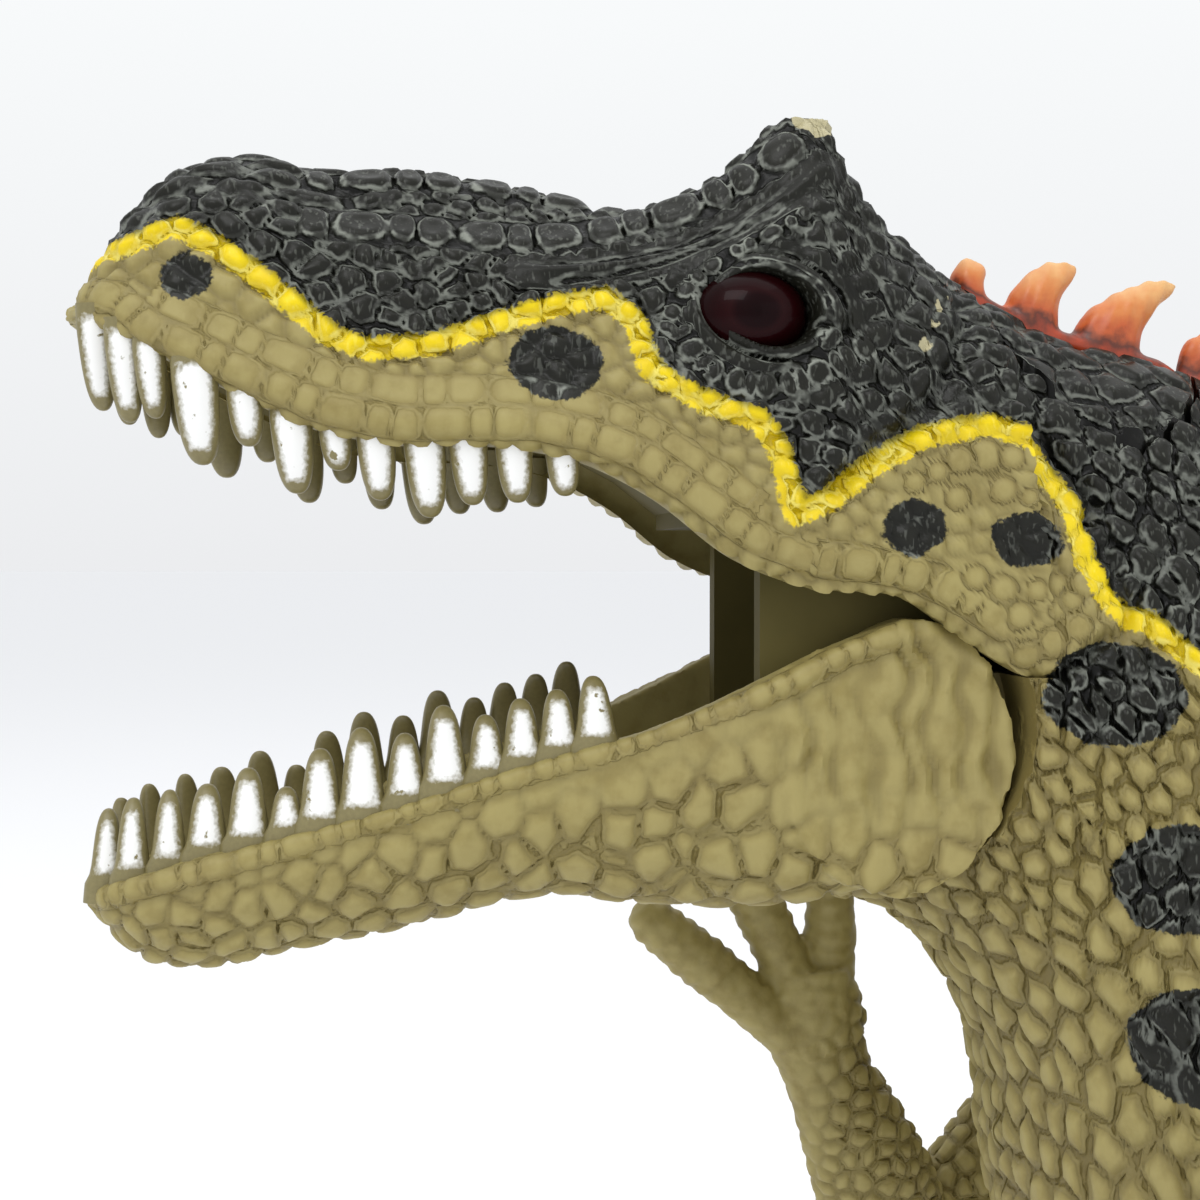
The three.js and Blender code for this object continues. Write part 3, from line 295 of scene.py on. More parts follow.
def raise_skin(thing, height, along=None):
    along = normals_of(thing) if along is None else along
    moved = points_of(thing) + along * np.asarray(height)[:, None]
    thing.data.vertices.foreach_set("co", ((moved + origin) * MM).ravel())
    thing.data.update()


def give(thing, name, values):
    """A named number on every point, which the paint reads."""
    layer = thing.data.attributes.get(name) or thing.data.attributes.new(name, "FLOAT", "POINT")
    layer.data.foreach_set("value", np.asarray(values, np.float32))


INSIDE_BOX = 0.01


def finish(thing, body, material, replaced=(), sharp=50):
    low, high = (np.array(corner) / MM - origin for corner in cad_box)
    inside = np.clip(points_of(thing), low + INSIDE_BOX, high - INSIDE_BOX)
    thing.data.vertices.foreach_set("co", ((inside + origin) * MM).ravel())
    thing.data.shade_smooth()
    thing.data.set_sharp_from_angle(angle=math.radians(sharp))
    thing.data.materials.clear()
    thing.data.materials.append(material)
    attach(thing, body)
    if replaced:
        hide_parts(*replaced)
    print(f"{thing.name}: {len(thing.data.polygons)} faces on {body}")
    return thing

# %% [markdown]
# ## Scales
# Reptile skin is a carpet of small plates. Seeds are strewn over the surface so that no two are too close,
# and each point belongs to its nearest seed. The distance to the border with the next seed gives the
# groove.


# %% Strewn seeds and plates
def strewn(points, spacing, seed, tries=30000):
    """Points picked at random from a surface, no two closer than the spacing there."""
    rng = np.random.default_rng(seed)
    picked = rng.choice(len(points), min(tries, len(points)), replace=False)
    size = float(spacing[picked].max())
    cells = {}
    chosen = []
    around = [(i, j, k) for i in (-1, 0, 1) for j in (-1, 0, 1) for k in (-1, 0, 1)]
    for index in picked:
        x, y, z = points[index]
        limit = spacing[index] ** 2
        home = (int(x // size), int(y // size), int(z // size))
        near = [c for i, j, k in around for c in cells.get((home[0] + i, home[1] + j, home[2] + k), ())]
        if all((x - c[0]) ** 2 + (y - c[1]) ** 2 + (z - c[2]) ** 2 > limit for c in near):
            cells.setdefault(home, []).append((x, y, z))
            chosen.append(index)
    return np.array(chosen)


def plates(points, spacing, seed, stretch=None):
    """For each point: the distance to its plate's border in spacings, and a random number of its plate."""
    ground = points if stretch is None else points @ stretch
    size = spacing[:, None]
    ground = ground + 0.08 * size * np.sin(2.6 / size * ground[:, [2, 0, 1]])
    seeds = strewn(ground, spacing, seed)
    tree = KDTree(len(seeds))
    for i, index in enumerate(seeds):
        tree.insert(ground[index], i)
    tree.balance()
    near = np.array([[found[1] for found in tree.find_n(p, 4)] for p in ground])
    centres = ground[seeds][near]
    own = ((ground - centres[:, 0]) ** 2).sum(1)
    border = np.full(len(ground), 1e9)
    for k in (1, 2, 3):
        gap = np.linalg.norm(centres[:, k] - centres[:, 0], axis=1)
        other = ((ground - centres[:, k]) ** 2).sum(1)
        border = np.minimum(border, (other - own) / (2 * gap))
    luck = np.random.default_rng(seed + 1).random((len(seeds), 3))[near[:, 0]]
    tilt = ((ground - centres[:, 0]) * (luck - 0.5)).sum(1) / spacing
    return border / spacing, luck[:, 0], tilt


def stretched(direction, ratio):
    """A change of measure that draws plates out along a direction."""
    along = np.array(direction, float) / np.linalg.norm(direction)
    return np.eye(3) + np.outer(along, along) * (1 / ratio - 1)


print("a plate stretched 2:1 along z measures", stretched((0, 0, 1), 2).diagonal())

# %% [markdown]
# ## Rows, folds and grooves
# The sculptor drew some features one by one: bead rows on the brow, the plates along the lip, the eyelids.
# Each is a line on the left side in millimetres, x forward and back, y out from the middle and z up, and
# the right side mirrors it.


# %% Features that follow a line
def on_one_side(points):
    return points * [1, 0, 1] + np.abs(points) * [0, 1, 0]


def along_line(points, line):
    """How far along a line each point lies, and how far from it."""
    line = np.asarray(line, float)
    mirrored = on_one_side(points)
    best = np.full(len(points), 1e9)
    place = np.zeros(len(points))
    run = 0.0
    for a, b in zip(line[:-1], line[1:]):
        step = b - a
        length = np.linalg.norm(step)
        t = np.clip(((mirrored - a) @ step) / length**2, 0, 1)
        off = np.linalg.norm(mirrored - a - t[:, None] * step, axis=1)
        nearer = off < best
        best = np.where(nearer, off, best)
        place = np.where(nearer, run + t * length, place)
        run += length
    return place, best, run


# Millimetres to the nearest border where none is near.
FAR = 3.0


class Relief:
    """Height of the skin over the smooth shape, share of groove, which the paint darkens as painted shade, and
    millimetres to the nearest border.
    """

    def __init__(self, points):
        self.points = points
        self.height = np.zeros(len(points))
        self.groove = np.zeros(len(points))
        self.edge = np.full(len(points), FAR)

    def lay(self, weight, height, groove, edge):
        self.height += weight * (height - self.height)
        self.groove += weight * (groove - self.groove)
        self.edge += weight * (edge - self.edge)

    def scales(self, spacing, depth, seed, stretch=None, shoulder=0.34, weight=1.0):
        spacing = np.broadcast_to(spacing, len(self.points)).astype(float)
        border, luck, tilt = plates(self.points, spacing, seed, stretch)
        low = 1 - np.clip(border / shoulder, 0, 1)
        top = (0.45 * (luck - 0.5) + 0.6 * tilt + 0.75 * smoothstep(0, 0.5, border)) * (1 - low)
        soft = np.clip(np.asarray(depth) / 0.4, 0, 1)
        self.lay(weight, depth * (top - low**1.6), low * soft, border * spacing + 0.2 * (1 - soft))

    def beads(self, line, pitch, half_width, height, start=0.0, square=2.8):
        place, off, run = along_line(self.points, line)
        across = off / half_width
        uneven = place + start + 0.2 * pitch * np.sin(2.3 * place / pitch)
        within = np.abs(2 * np.mod(uneven / pitch, 1) - 1)
        outward = (within**square + np.clip(across, 0, 2) ** square) ** (1 / square)
        ends = (place > 0.02) & (place < run - 0.02)
        weight = (1 - smoothstep(0.85, 1.2, across)) * ends
        dome = 1 - np.clip(outward, 0, 1) ** 3
        dish = 1 - smoothstep(0.15, 0.6, outward)
        soft = min(height / 0.4, 1)
        edge = np.clip(1 - outward, 0, 1) * max(min(half_width, pitch / 2), 0.9) + 0.25 * (1 - soft)
        self.lay(
            weight, height * (dome - 0.3 * dish) - 0.12 * soft, soft * (1 - smoothstep(0, 0.45, dome)), edge
        )

    def lumps(self, spots, height):
        mirrored = on_one_side(self.points)
        offs = [np.linalg.norm(mirrored - (x, y, z), axis=1) / radius for x, y, z, radius in spots]
        self.calm(0.35 * (1 - smoothstep(1.2, 2.2, np.min(offs, axis=0))))
        for off, (*_, radius) in zip(offs, spots):
            dome = 1 - np.clip(off / 1.1, 0, 1) ** 2.8
            weight = 1 - smoothstep(1.0, 1.3, off)
            edge = np.clip(1.1 - off, 0, 1) * radius + 0.06
            self.lay(weight, height * radius * dome - 0.15, 0.85 * (1 - smoothstep(0, 0.8, dome)), edge)

    def fold(self, line, width, height):
        off = along_line(self.points, line)[1]
        shape = np.exp(-((off / width) ** 2))
        self.height += height * shape
        if height < 0:
            soft = min(-height / 0.4, 1)
            self.groove = np.maximum(self.groove, soft * shape)
            self.edge = np.minimum(self.edge, off + 1.5 * (1 - soft))

    def calm(self, weight):
        self.height *= 1 - weight
        self.groove *= 1 - weight
        self.edge += 1.2 * weight

    def hand_to(self, thing):
        raise_skin(thing, self.height)
        give(thing, "groove", self.groove)
        give(thing, "edge", self.edge)


def wander(points, scale, seed=0):
    """Smooth random numbers, about -1 to 1, with features of the given size in millimetres."""
    shift = Vector((seed * 7.3, seed * 3.1, seed * 5.7))
    return np.array([noise.noise(Vector(p) / scale + shift) for p in points])


# %% [markdown]
# ## Paint lines
# The paint was masked and sprayed: black above one wavy line, a thin yellow line along its edge, and round
# dark spots. A signed distance to each edge, in millimetres, is stored on the skin, and the material turns
# it into a soft or a sharp edge. The far part of the line, over the body and tail, continues the pattern of
# the neck.

# %% The black area, its yellow edge and the spots
HEAD_LINE = [
    (-143, 149.4), (-138.5, 149.95), (-135.2, 151.2), (-132.6, 149.84), (-128.92, 147.07), (-124.96, 143.7),
    (-122.66, 142.8), (-118.39, 143.1), (-113.73, 144.7), (-109.68, 146.0), (-106.6, 146.45),
    (-104.75, 144.9), (-103.88, 141.5), (-100.66, 139.45), (-96.71, 138.1), (-95.3, 135.8), (-94.54, 131.8),
    (-92.18, 132.8), (-88.72, 135.46), (-85.25, 137.2), (-81.07, 137.9), (-78.2, 137.0), (-76.3, 134.3),
    (-74.9, 132.2), (-74.5, 128.8), (-73.3, 126.4), (-71.8, 124.9), (-70.4, 124.6), (-68.8, 123.1),
    (-67.3, 121.8),
]
BODY_LINE = [
    (-62, 118.4), (-54, 120), (-45, 124.5), (-36, 121), (-28, 113), (-19, 112.5), (-10, 119), (-1, 121.5),
    (9, 115), (18, 107.5), (28, 108), (38, 113), (48, 110.5),
]
TAIL_LINE = [
    (60, 105), (72, 106.5), (86, 101), (100, 102), (116, 99.5), (132, 101), (150, 101), (170, 105),
    (190, 112),
]
PAINT_LINE = np.array(HEAD_LINE + BODY_LINE + TAIL_LINE)
STRIPE_HALF = 0.78
SPOTS = [
    (-134.5, 147.7, 1.8, 1.65), (-110.1, 141.9, 3.2, 2.5), (-86.5, 131.0, 2.1, 1.85),
    (-78.7, 130.2, 2.7, 1.85), (-73.1, 119.8, 4.6, 3.5), (-69.3, 107.6, 3.8, 3.7), (-68.2, 96.5, 3.4, 4.0),
    (-54, 106, 3.6, 4.2), (-46, 90, 4.4, 3.6), (-40, 108, 3.4, 4.4), (-27, 96, 4.6, 3.8),
    (-22, 80, 4.2, 3.2), (-14, 104, 3.4, 4.0), (6, 98, 4.4, 5.2), (-6, 84, 4.6, 3.8), (12, 80, 3.6, 4.6),
    (24, 96, 4.0, 3.4), (38, 101, 3.6, 3.0), (-14, 68, 3.6, 4.2), (2, 66, 3.4, 3.0), (60, 96, 3.4, 2.6),
    (78, 94, 3.2, 2.4), (97, 92, 2.8, 2.2), (-50, 76, 3.2, 3.6), (-60, 92, 3.0, 3.8), (-18, 50, 3.4, 2.8),
    (-8, 36, 2.4, 3.0), (118, 92, 2.4, 1.9),
]

# Where handling has rubbed the black paint off: a point on the left side and a radius.
RUBS = [
    (-91.5, 8.2, 159.9, 1.9), (-83.5, 11, 146.3, 0.45), (-85.1, 12.7, 143.4, 0.5), (-84.2, 12, 145, 0.35),
    (-137.5, 3, 152.5, 0.5), (-82.6, 10.4, 147, 0.35),
]
UNPAINTED = -9.0


def paint_edges(thing):
    points = points_of(thing)
    flat = points[:, [0, 2]]
    ragged = wander(points, 1.4, 3)
    best = np.full(len(flat), 1e9)
    inside = np.zeros(len(flat), bool)
    corners = np.vstack([PAINT_LINE, [(260, 112), (260, 260), (-170, 260), (-170, 149.4)]])
    for k in range(len(corners)):
        a, b = corners[k], corners[(k + 1) % len(corners)]
        crosses = (a[1] > flat[:, 1]) != (b[1] > flat[:, 1])
        slope = (b[0] - a[0]) / (b[1] - a[1] if b[1] != a[1] else 1e-9)
        inside ^= crosses & (flat[:, 0] < a[0] + (flat[:, 1] - a[1]) * slope)
        if k + 1 < len(PAINT_LINE):
            step = b - a
            t = np.clip(((flat - a) @ step) / (step @ step), 0, 1)
            best = np.minimum(best, np.linalg.norm(flat - a - t[:, None] * step, axis=1))
    give(thing, "above_line", np.where(inside, best, -best) + 0.16 * ragged)
    give(thing, "off_line", STRIPE_HALF - best + 0.1 * ragged)
    spot = np.full(len(flat), UNPAINTED)
    for x, z, wide, high in SPOTS:
        off = np.hypot((flat[:, 0] - x) / wide, (flat[:, 1] - z) / high)
        spot = np.maximum(spot, (1 - off) * (wide + high) / 2)
    give(thing, "in_spot", spot + 0.35 * ragged)
    mirrored = on_one_side(points)
    rubbed = [r - np.linalg.norm(mirrored - (a, b, c), axis=1) for a, b, c, r in RUBS]
    give(thing, "rubbed", np.max(rubbed, axis=0))


print(len(PAINT_LINE), "points on the paint line and", len(SPOTS), "spots on each side")

# %% [markdown]
# ## Materials
# The skin is PVC: satin and slightly waxy, and the paint darkens its grooves as painted shade. Sprayed paint
# is a little glossier than the plastic under it and thins out at its edges. One helper adds a node, sets
# its sockets and links it, so that a material reads as a list of layers.


# %% Colours and nodes
MAIN_OUTPUT = {
    "ShaderNodeTexCoord": "Object", "ShaderNodeTexNoise": "Fac", "ShaderNodeAttribute": "Fac",
    "ShaderNodeMix": 2,
}
RANGE = ("Value", "From Min", "From Max", "To Min", "To Max")


def linear(code):
    """An sRGB hex colour as the linear numbers that a shader expects."""
    shares = [int(code[i : i + 2], 16) / 255 for i in (1, 3, 5)]
    return (*[s / 12.92 if s <= 0.04045 else ((s + 0.055) / 1.055) ** 2.4 for s in shares], 1)


def feed(tree, node, inputs):
    """Each input is a number, a colour, a socket, or a node whose main output feeds it."""
    for socket, value in inputs.items():
        if isinstance(value, bpy.types.Node):
            value = value.outputs[MAIN_OUTPUT.get(value.bl_idname, 0)]
        if isinstance(value, bpy.types.NodeSocket):
            tree.links.new(value, node.inputs[socket])
        else:
            node.inputs[socket].default_value = value


def add(tree, kind, inputs=None, **settings):
    made = tree.nodes.new("ShaderNode" + kind)
    for key, value in settings.items():
        setattr(made, key, value)
    feed(tree, made, inputs or {})
    return made


def material(name, **settings):
    made = bpy.data.materials.new(name)
    made.use_nodes = True
    shader = made.node_tree.nodes["Principled BSDF"]
    feed(made.node_tree, shader, {socket.replace("_", " "): value for socket, value in settings.items()})
    return made, made.node_tree, shader


print("olive PVC in linear light:", [round(v, 3) for v in linear("#958B5D")])

# %% [markdown]
# ### Moulded PVC skin with sprayed paint
# The base is olive with soft cloudy patches. Over it come the black, the yellow line and the spots, each
# with an edge a few tenths of a millimetre wide, as spray has. Every scale has a thin raised rim just
# inside its border with a painted highlight on it, partly also wear: grey on the black paint, paler on the
# olive and the yellow. Fine scratches cross its face. The olive scales are painted lighter on their tops.

# %% Masks of the paint
SPRAY_GRAIN, CLOUD_SIZE, WEAR_SIZE = 0.35 * MM, 9 * MM, 1.1 * MM
PORE_SIZE, SCRATCH_SIZE = 0.22 * MM, 0.3 * MM
skin, tree, shader = material("painted_pvc_skin", IOR=1.5)
place = add(tree, "TexCoord")
upright = add(tree, "VectorMath", {0: place, 1: (1.0, 1.0, 0.3)}, operation="MULTIPLY")
NOISES = {
    "grain": (SPRAY_GRAIN, 2.0, place), "cloud": (CLOUD_SIZE, 4.0, place),
    "patch": (CLOUD_SIZE / 5, 3.0, place), "wear": (WEAR_SIZE, 2.0, place),
    "pores": (PORE_SIZE, 2.0, place), "fine_lines": (SCRATCH_SIZE, 1.0, upright),
}
layers = {
    name: add(tree, "TexNoise", {"Vector": vector, "Scale": 1 / size, "Detail": detail})
    for name, (size, detail, vector) in NOISES.items()
}
for name in ("above_line", "off_line", "in_spot", "groove", "edge", "rubbed"):
    layers[name] = add(tree, "Attribute", attribute_name=name)
# Each row makes one mask. With numbers, the source is carried smoothly from 0 at the first number to 1 at the
# second, or between the two numbers after them. With a word, two masks are joined.
MASKS = []
for name, soft in (("above_line", 0.3), ("off_line", 0.3), ("in_spot", 0.22), ("rubbed", 0.1)):
    MASKS += [
        (f"{name}_fray", "grain", 0.3, 0.7, -soft / 2, soft / 2),
        (f"{name}_frayed", name, "ADD", f"{name}_fray"),
        (f"{name}_sprayed", f"{name}_frayed", -soft / 2, soft / 2),
    ]
MASKS += [
    ("dark", "above_line_sprayed", "MAXIMUM", "in_spot_sprayed"),
    ("waves", "patch", 0.2, 0.8, -0.16, 0.16),
    ("wavering", "edge", "ADD", "waves"),
    ("rim_from", "wavering", 0.09, 0.19),
    ("rim_to", "wavering", 0.42, 0.25),
    ("rim", "rim_from", "MULTIPLY", "rim_to"),
    ("crease", "wavering", 0.16, 0.0),
    ("scratched", "fine_lines", 0.56, 0.7),
    ("face", "edge", 0.3, 0.5),
    ("scratch", "scratched", "MULTIPLY", "face"),
    ("broken", "wear", 0.38, 0.6, 0.12, 1.0),
    # Painted highlight on the scale rims, broken up by patches of wear, with faint scratches.
    ("rim_highlight_and_wear", "rim", "MULTIPLY", "broken"),
    ("faint_scratch", "scratch", "MULTIPLY", 0.25),
    ("highlight_and_wear", "rim_highlight_and_wear", "MAXIMUM", "faint_scratch"),
    # Painted shade in the grooves and along the scale borders.
    ("groove_shade", "groove", "MULTIPLY", 0.6),
    ("crease_shade", "crease", "MULTIPLY", 0.85),
    ("shade", "groove_shade", "MAXIMUM", "crease_shade"),
    ("olive_groove", "groove", "MULTIPLY", 0.8),
    ("olive_crease", "crease", "MULTIPLY", 0.45),
    ("olive_deep", "olive_groove", "MAXIMUM", "olive_crease"),
    ("olive_shade", "olive_deep", "MULTIPLY", 0.66),
    # Painted light: the olive scales are lighter on their tops, away from the borders.
    ("high", "edge", 0.25, 0.75),
    ("pale", "patch", 0.25, 0.6),
    ("lit_tops", "high", "MULTIPLY", "pale"),
    ("olive_lit_tops", "lit_tops", "MULTIPLY", 0.5),
    # Paler rims on the olive and the yellow: painted highlight, partly wear.
    ("olive_highlight_and_wear", "highlight_and_wear", "MULTIPLY", 0.16),
    ("yellow_highlight_and_wear", "highlight_and_wear", "MULTIPLY", 0.55),
    ("yellow_shade", "shade", "MULTIPLY", 0.6),
    ("near_black", "above_line", 0.3, 1.0, 0, 0.8),
    ("overspray", "near_black", "MULTIPLY", "off_line_sprayed"),
    ("carved", "rim", "SUBTRACT", "crease"),
    ("roughness", "dark", 0, 1, 0.55, 0.36),
    ("gloss", "dark", 0, 1, 0.36, 0.2),
]
for name, source, *how in MASKS:
    if isinstance(how[0], str):
        inputs = {0: layers[source], 1: layers.get(how[1], how[1])}
        layers[name] = add(tree, "Math", inputs, operation=how[0])
    else:
        inputs = dict(zip(RANGE, (layers[source], *how)))
        layers[name] = add(tree, "MapRange", inputs, interpolation_type="SMOOTHSTEP")
print(len(MASKS), "masks")

# %% Coats of colour
# Each row lays the second tone over the first one where its mask is white.
COATS = [
    ("olive", "cloud", "#7A6B3C", "#978A50"),
    # Painted light on the tops of the olive scales.
    ("olive", "olive_lit_tops", "olive", "#A89C64"),
    # Painted highlight on the olive rims, partly wear.
    ("olive", "olive_highlight_and_wear", "olive", "#B9AE7A"),
    ("olive", "olive_shade", "olive", "#463A1B"),
    ("black", "patch", "#0F0F0B", "#22221B"),
    # Grey painted highlight on the black rims, partly wear.
    ("black", "highlight_and_wear", "black", "#80837A"),
    ("black", "shade", "black", "#030302"),
    ("yellow", "patch", "#D2B205", "#EFD716"),
    # Pale painted highlight on the yellow rims, partly wear.
    ("yellow", "yellow_highlight_and_wear", "yellow", "#F8F08A"),
    ("yellow", "yellow_shade", "yellow", "#6B5703"),
    ("paint", "dark", "olive", "black"),
    ("paint", "off_line_sprayed", "paint", "yellow"),
    ("paint", "overspray", "paint", "#33370A"),
    ("paint", "rubbed_sprayed", "paint", "#B3AB88"),
]
for name, mask, *tones in COATS:
    under, over = (layers[tone] if tone in layers else linear(tone) for tone in tones)
    layers[name] = add(tree, "Mix", {0: layers[mask], 6: under, 7: over}, data_type="RGBA")
pitted = add(tree, "Bump", {"Height": layers["pores"], "Strength": 0.25, "Distance": 0.05 * MM})
carving = {"Height": layers["carved"], "Strength": 0.8, "Distance": 0.12 * MM, "Normal": pitted}
feed(tree, shader, {
    "Base Color": layers["paint"], "Roughness": layers["roughness"],
    "Specular IOR Level": layers["gloss"], "Normal": add(tree, "Bump", carving),
})
print(skin.name, "has", len(tree.nodes), "nodes")

# %% [markdown]
# ### Teeth, spines and the eye
# The teeth are moulded with the olive jaw and only their outer faces are brushed white. The spines are orange
# PVC, redder and darker at the root. The eye is polished acrylic, dark red, with a clear coat.

# %% Tooth material
teeth_paint, tree, shader = material("brushed_white_teeth", IOR=1.53, Roughness=0.36)
place = add(tree, "TexCoord")
grain = add(tree, "TexNoise", {"Vector": place, "Scale": 1 / (0.3 * MM), "Detail": 3.0})
chips = add(tree, "TexNoise", {"Vector": place, "Scale": 1 / (1.1 * MM), "Detail": 5.0})
white = add(tree, "Attribute", attribute_name="white_paint")
fray = add(tree, "MapRange", dict(zip(RANGE, (grain, 0.3, 0.7, -0.11, 0.11))))
edge = add(tree, "Math", {0: white, 1: fray}, operation="ADD")
brushed = add(tree, "MapRange", dict(zip(RANGE, (edge, -0.22, 0.2))))
kept = add(tree, "MapRange", dict(zip(RANGE, (chips, 0.31, 0.34))))
mask = add(tree, "Math", {0: brushed, 1: kept}, operation="MULTIPLY")
bare = add(tree, "Mix", {0: grain, 6: linear("#6E6540"), 7: linear("#857B50")}, data_type="RGBA")
colour = add(tree, "Mix", {0: mask, 6: bare, 7: linear("#ECECEA")}, data_type="RGBA")
feed(tree, shader, {"Base Color": colour})

# %% Spine material
orange, tree, shader = material("orange_pvc_spines", IOR=1.53, Roughness=0.42)
place = add(tree, "TexCoord")
streaks = add(tree, "TexNoise", {"Vector": place, "Scale": 1 / (1.2 * MM), "Detail": 4.0})
up = add(tree, "Attribute", attribute_name="up_spine")
mottle = add(tree, "MapRange", {"Value": streaks, "To Min": -0.25, "To Max": 0.25})
ramp = add(tree, "ValToRGB", {0: add(tree, "Math", {0: up, 1: mottle}, operation="ADD")})
ramp.color_ramp.elements[0].color = linear("#A83A12")
ramp.color_ramp.elements[1].color = linear("#DCAA6C")
for at, tone in ((0.15, "#5C230D"), (0.3, "#BE5520"), (0.55, "#D07A3A")):
    ramp.color_ramp.elements.new(at).color = linear(tone)
feed(tree, shader, {"Base Color": ramp})

# %% Eye material
acrylic, tree, shader = material(
    "polished_acrylic_eye", Specular_IOR_Level=0.04, Roughness=0.3, Coat_Weight=0.08, Coat_Roughness=0.02
)
ramp = add(tree, "ValToRGB", {0: add(tree, "Attribute", attribute_name="off_gaze")})
ramp.color_ramp.elements[0].color = linear("#0E0102")
ramp.color_ramp.elements[1].color = linear("#120103")
for at, tone in ((0.17, "#140103"), (0.23, "#210608"), (0.29, "#1D0204"), (0.4, "#170203")):
    ramp.color_ramp.elements.new(at).color = linear(tone)
feed(tree, shader, {"Base Color": ramp})


# %% Hard plastics and steel
def clouded(name, size, low, high, detail=2.0, **settings):
    """A plain material whose colour drifts between two tones over the given size in millimetres."""
    made, tree, shader = material(name, **settings)
    inputs = {"Vector": add(tree, "TexCoord"), "Scale": 1 / (size * MM), "Detail": detail}
    tone = {0: add(tree, "TexNoise", inputs), 6: linear(low), 7: linear(high)}
    feed(tree, shader, {"Base Color": add(tree, "Mix", tone, data_type="RGBA")})
    return made


# The frame inside the mouth is unpainted ABS in a darker olive, a little duller than the skin.
frame_abs = clouded("olive_abs_frame", 6, "#4B4420", "#645B31", 3.0, Specular_IOR_Level=0.2, Roughness=0.7)
# Natural acetal is milky and smooth: the lever and the washers run against other plastic without grease.
acetal = clouded("natural_acetal", 3, "#CFCBBE", "#DEDBD0", IOR=1.48, Roughness=0.4)
# Zinc-plated steel: the pin, the spring and the screws, with drawing marks along the wire.
steel = clouded("zinc_plated_steel", 0.8, "#A9ABAF", "#C3C5C8", Metallic=1.0)
tree = steel.node_tree
rough = add(tree, "MapRange", {"Value": tree.nodes["Noise Texture"], "To Min": 0.24, "To Max": 0.42})
feed(tree, tree.nodes["Principled BSDF"], {"Roughness": rough})
print("materials:", [m.name for m in (skin, teeth_paint, orange, acrylic, frame_abs, acetal, steel)])

# %% [markdown]
# ## The skull
# The skull is a hollow PVC half-shell, open below. It is drawn as one strip per slice, up the outside from
# lip to lip and back along the inside, so wall and rim are a single closed skin without any cutting.

# %% Skull slices
# Each row: length share, crown height, then width and height shares of the brow, of the flank and of the lip.
SKULL = np.array([
    (-0.06, 0.66, 0.66, 0.55, 1.0, 0.3, 1.0, -0.02),
    (0.044, 0.735, 0.6, 0.64, 0.96, 0.35, 1.0, -0.022),
    (0.102, 0.785, 0.56, 0.71, 0.92, 0.416, 0.99, 0.042),
    (0.161, 0.81, 0.53, 0.79, 0.885, 0.48, 0.98, 0.12),
    (0.2, 0.805, 0.49, 0.895, 0.86, 0.558, 0.97, 0.133),
    (0.226, 0.805, 0.46, 0.995, 0.845, 0.597, 0.965, 0.136),
    (0.258, 0.8, 0.46, 1.0, 0.83, 0.622, 0.955, 0.142),
    (0.336, 0.805, 0.45, 0.883, 0.8, 0.61, 0.935, 0.195),
    (0.409, 0.826, 0.43, 0.82, 0.765, 0.571, 0.905, 0.294),
    (0.482, 0.868, 0.41, 0.79, 0.73, 0.571, 0.87, 0.36),
    (0.569, 0.899, 0.4, 0.79, 0.695, 0.587, 0.815, 0.387),
    (0.657, 0.917, 0.38, 0.803, 0.655, 0.603, 0.765, 0.39),
    (0.737, 0.914, 0.355, 0.826, 0.625, 0.634, 0.717, 0.416),
    (0.81, 0.935, 0.33, 0.868, 0.59, 0.675, 0.675, 0.473),
    (0.876, 0.906, 0.3, 0.862, 0.54, 0.696, 0.634, 0.532),
    (0.927, 0.825, 0.26, 0.79, 0.475, 0.685, 0.555, 0.577),
    (0.968, 0.715, 0.19, 0.69, 0.35, 0.65, 0.42, 0.613),
    (0.99, 0.655, 0.09, 0.645, 0.17, 0.635, 0.2, 0.618),
])


def at_share(table, share):
    return through(table, np.interp(share, table[:, 0], np.arange(len(table))))


def skull_line(row):
    """A slice of the skull from the left lip over the crown to the right lip, as y and z."""
    crown, brow_w, brow_z, flank_w, flank_z, lip_w, lip_z = row[1:]
    upper = (brow_w + (flank_w - brow_w) * 0.62, brow_z + (flank_z - brow_z) * 0.42)
    lower = (flank_w + (lip_w - flank_w) * 0.7, flank_z + (lip_z - flank_z) * 0.55)
    half = [
        (brow_w * 0.52, crown + (brow_z - crown) * 0.3), (brow_w, brow_z), upper, (flank_w, flank_z), lower,
        (lip_w, lip_z + (flank_z - lip_z) * 0.14), (lip_w * 0.93, lip_z),
    ]
    left = [(-y, z) for y, z in half[::-1]]
    line = np.array([*left, (0, crown), *half])
    dense = through(line, np.linspace(0, len(line) - 1, 113))
    return dense * [HALF_HEAD, HEAD_HEIGHT] + [0, SEAM_LOW[1]]


def skull_skin(outer_count=300, inner_count=48, rows=214):
    shares = np.concatenate([np.linspace(0.03, 0.99, rows), [0.993, 0.995]])
    nose = np.concatenate([np.ones(rows), [0.7, 0.3]])
    rings = []
    for share, shrink in zip(shares, nose):
        line = skull_line(at_share(SKULL, np.array([min(share, 0.99)]))[0])
        outer = evenly(line, outer_count)
        inner = evenly(line, inner_count)[::-1]
        lip, crown = inner[0, 1], inner[:, 1].max()
        up = np.clip((inner[:, 1] - lip) / (crown - lip), 0, 1)
        thin = np.maximum(np.abs(inner[:, 0]) - SKULL_WALL, np.abs(inner[:, 0]) / 5)
        hollow = 1 - smoothstep(0.9, 0.94, share)
        height = lip + (inner[:, 1] - SKULL_WALL * up - lip) * hollow
        inner = np.stack([np.sign(inner[:, 0]) * thin, height], axis=1)
        ring = np.vstack([outer, inner])
        middle = ring.mean(0)
        ring = middle + (ring - middle) * shrink
        lean = (1 - smoothstep(0.03, 0.16, share)) * (seam_x(ring[:, 1]) - 0.04 - head_x(0.03))
        rings.append(np.stack([head_x(share) + lean, ring[:, 0], ring[:, 1]], axis=1))
    return np.array(rings), outer_count, inner_count


rings, outer_count, inner_count = skull_skin()
print("skull grid:", rings.shape)


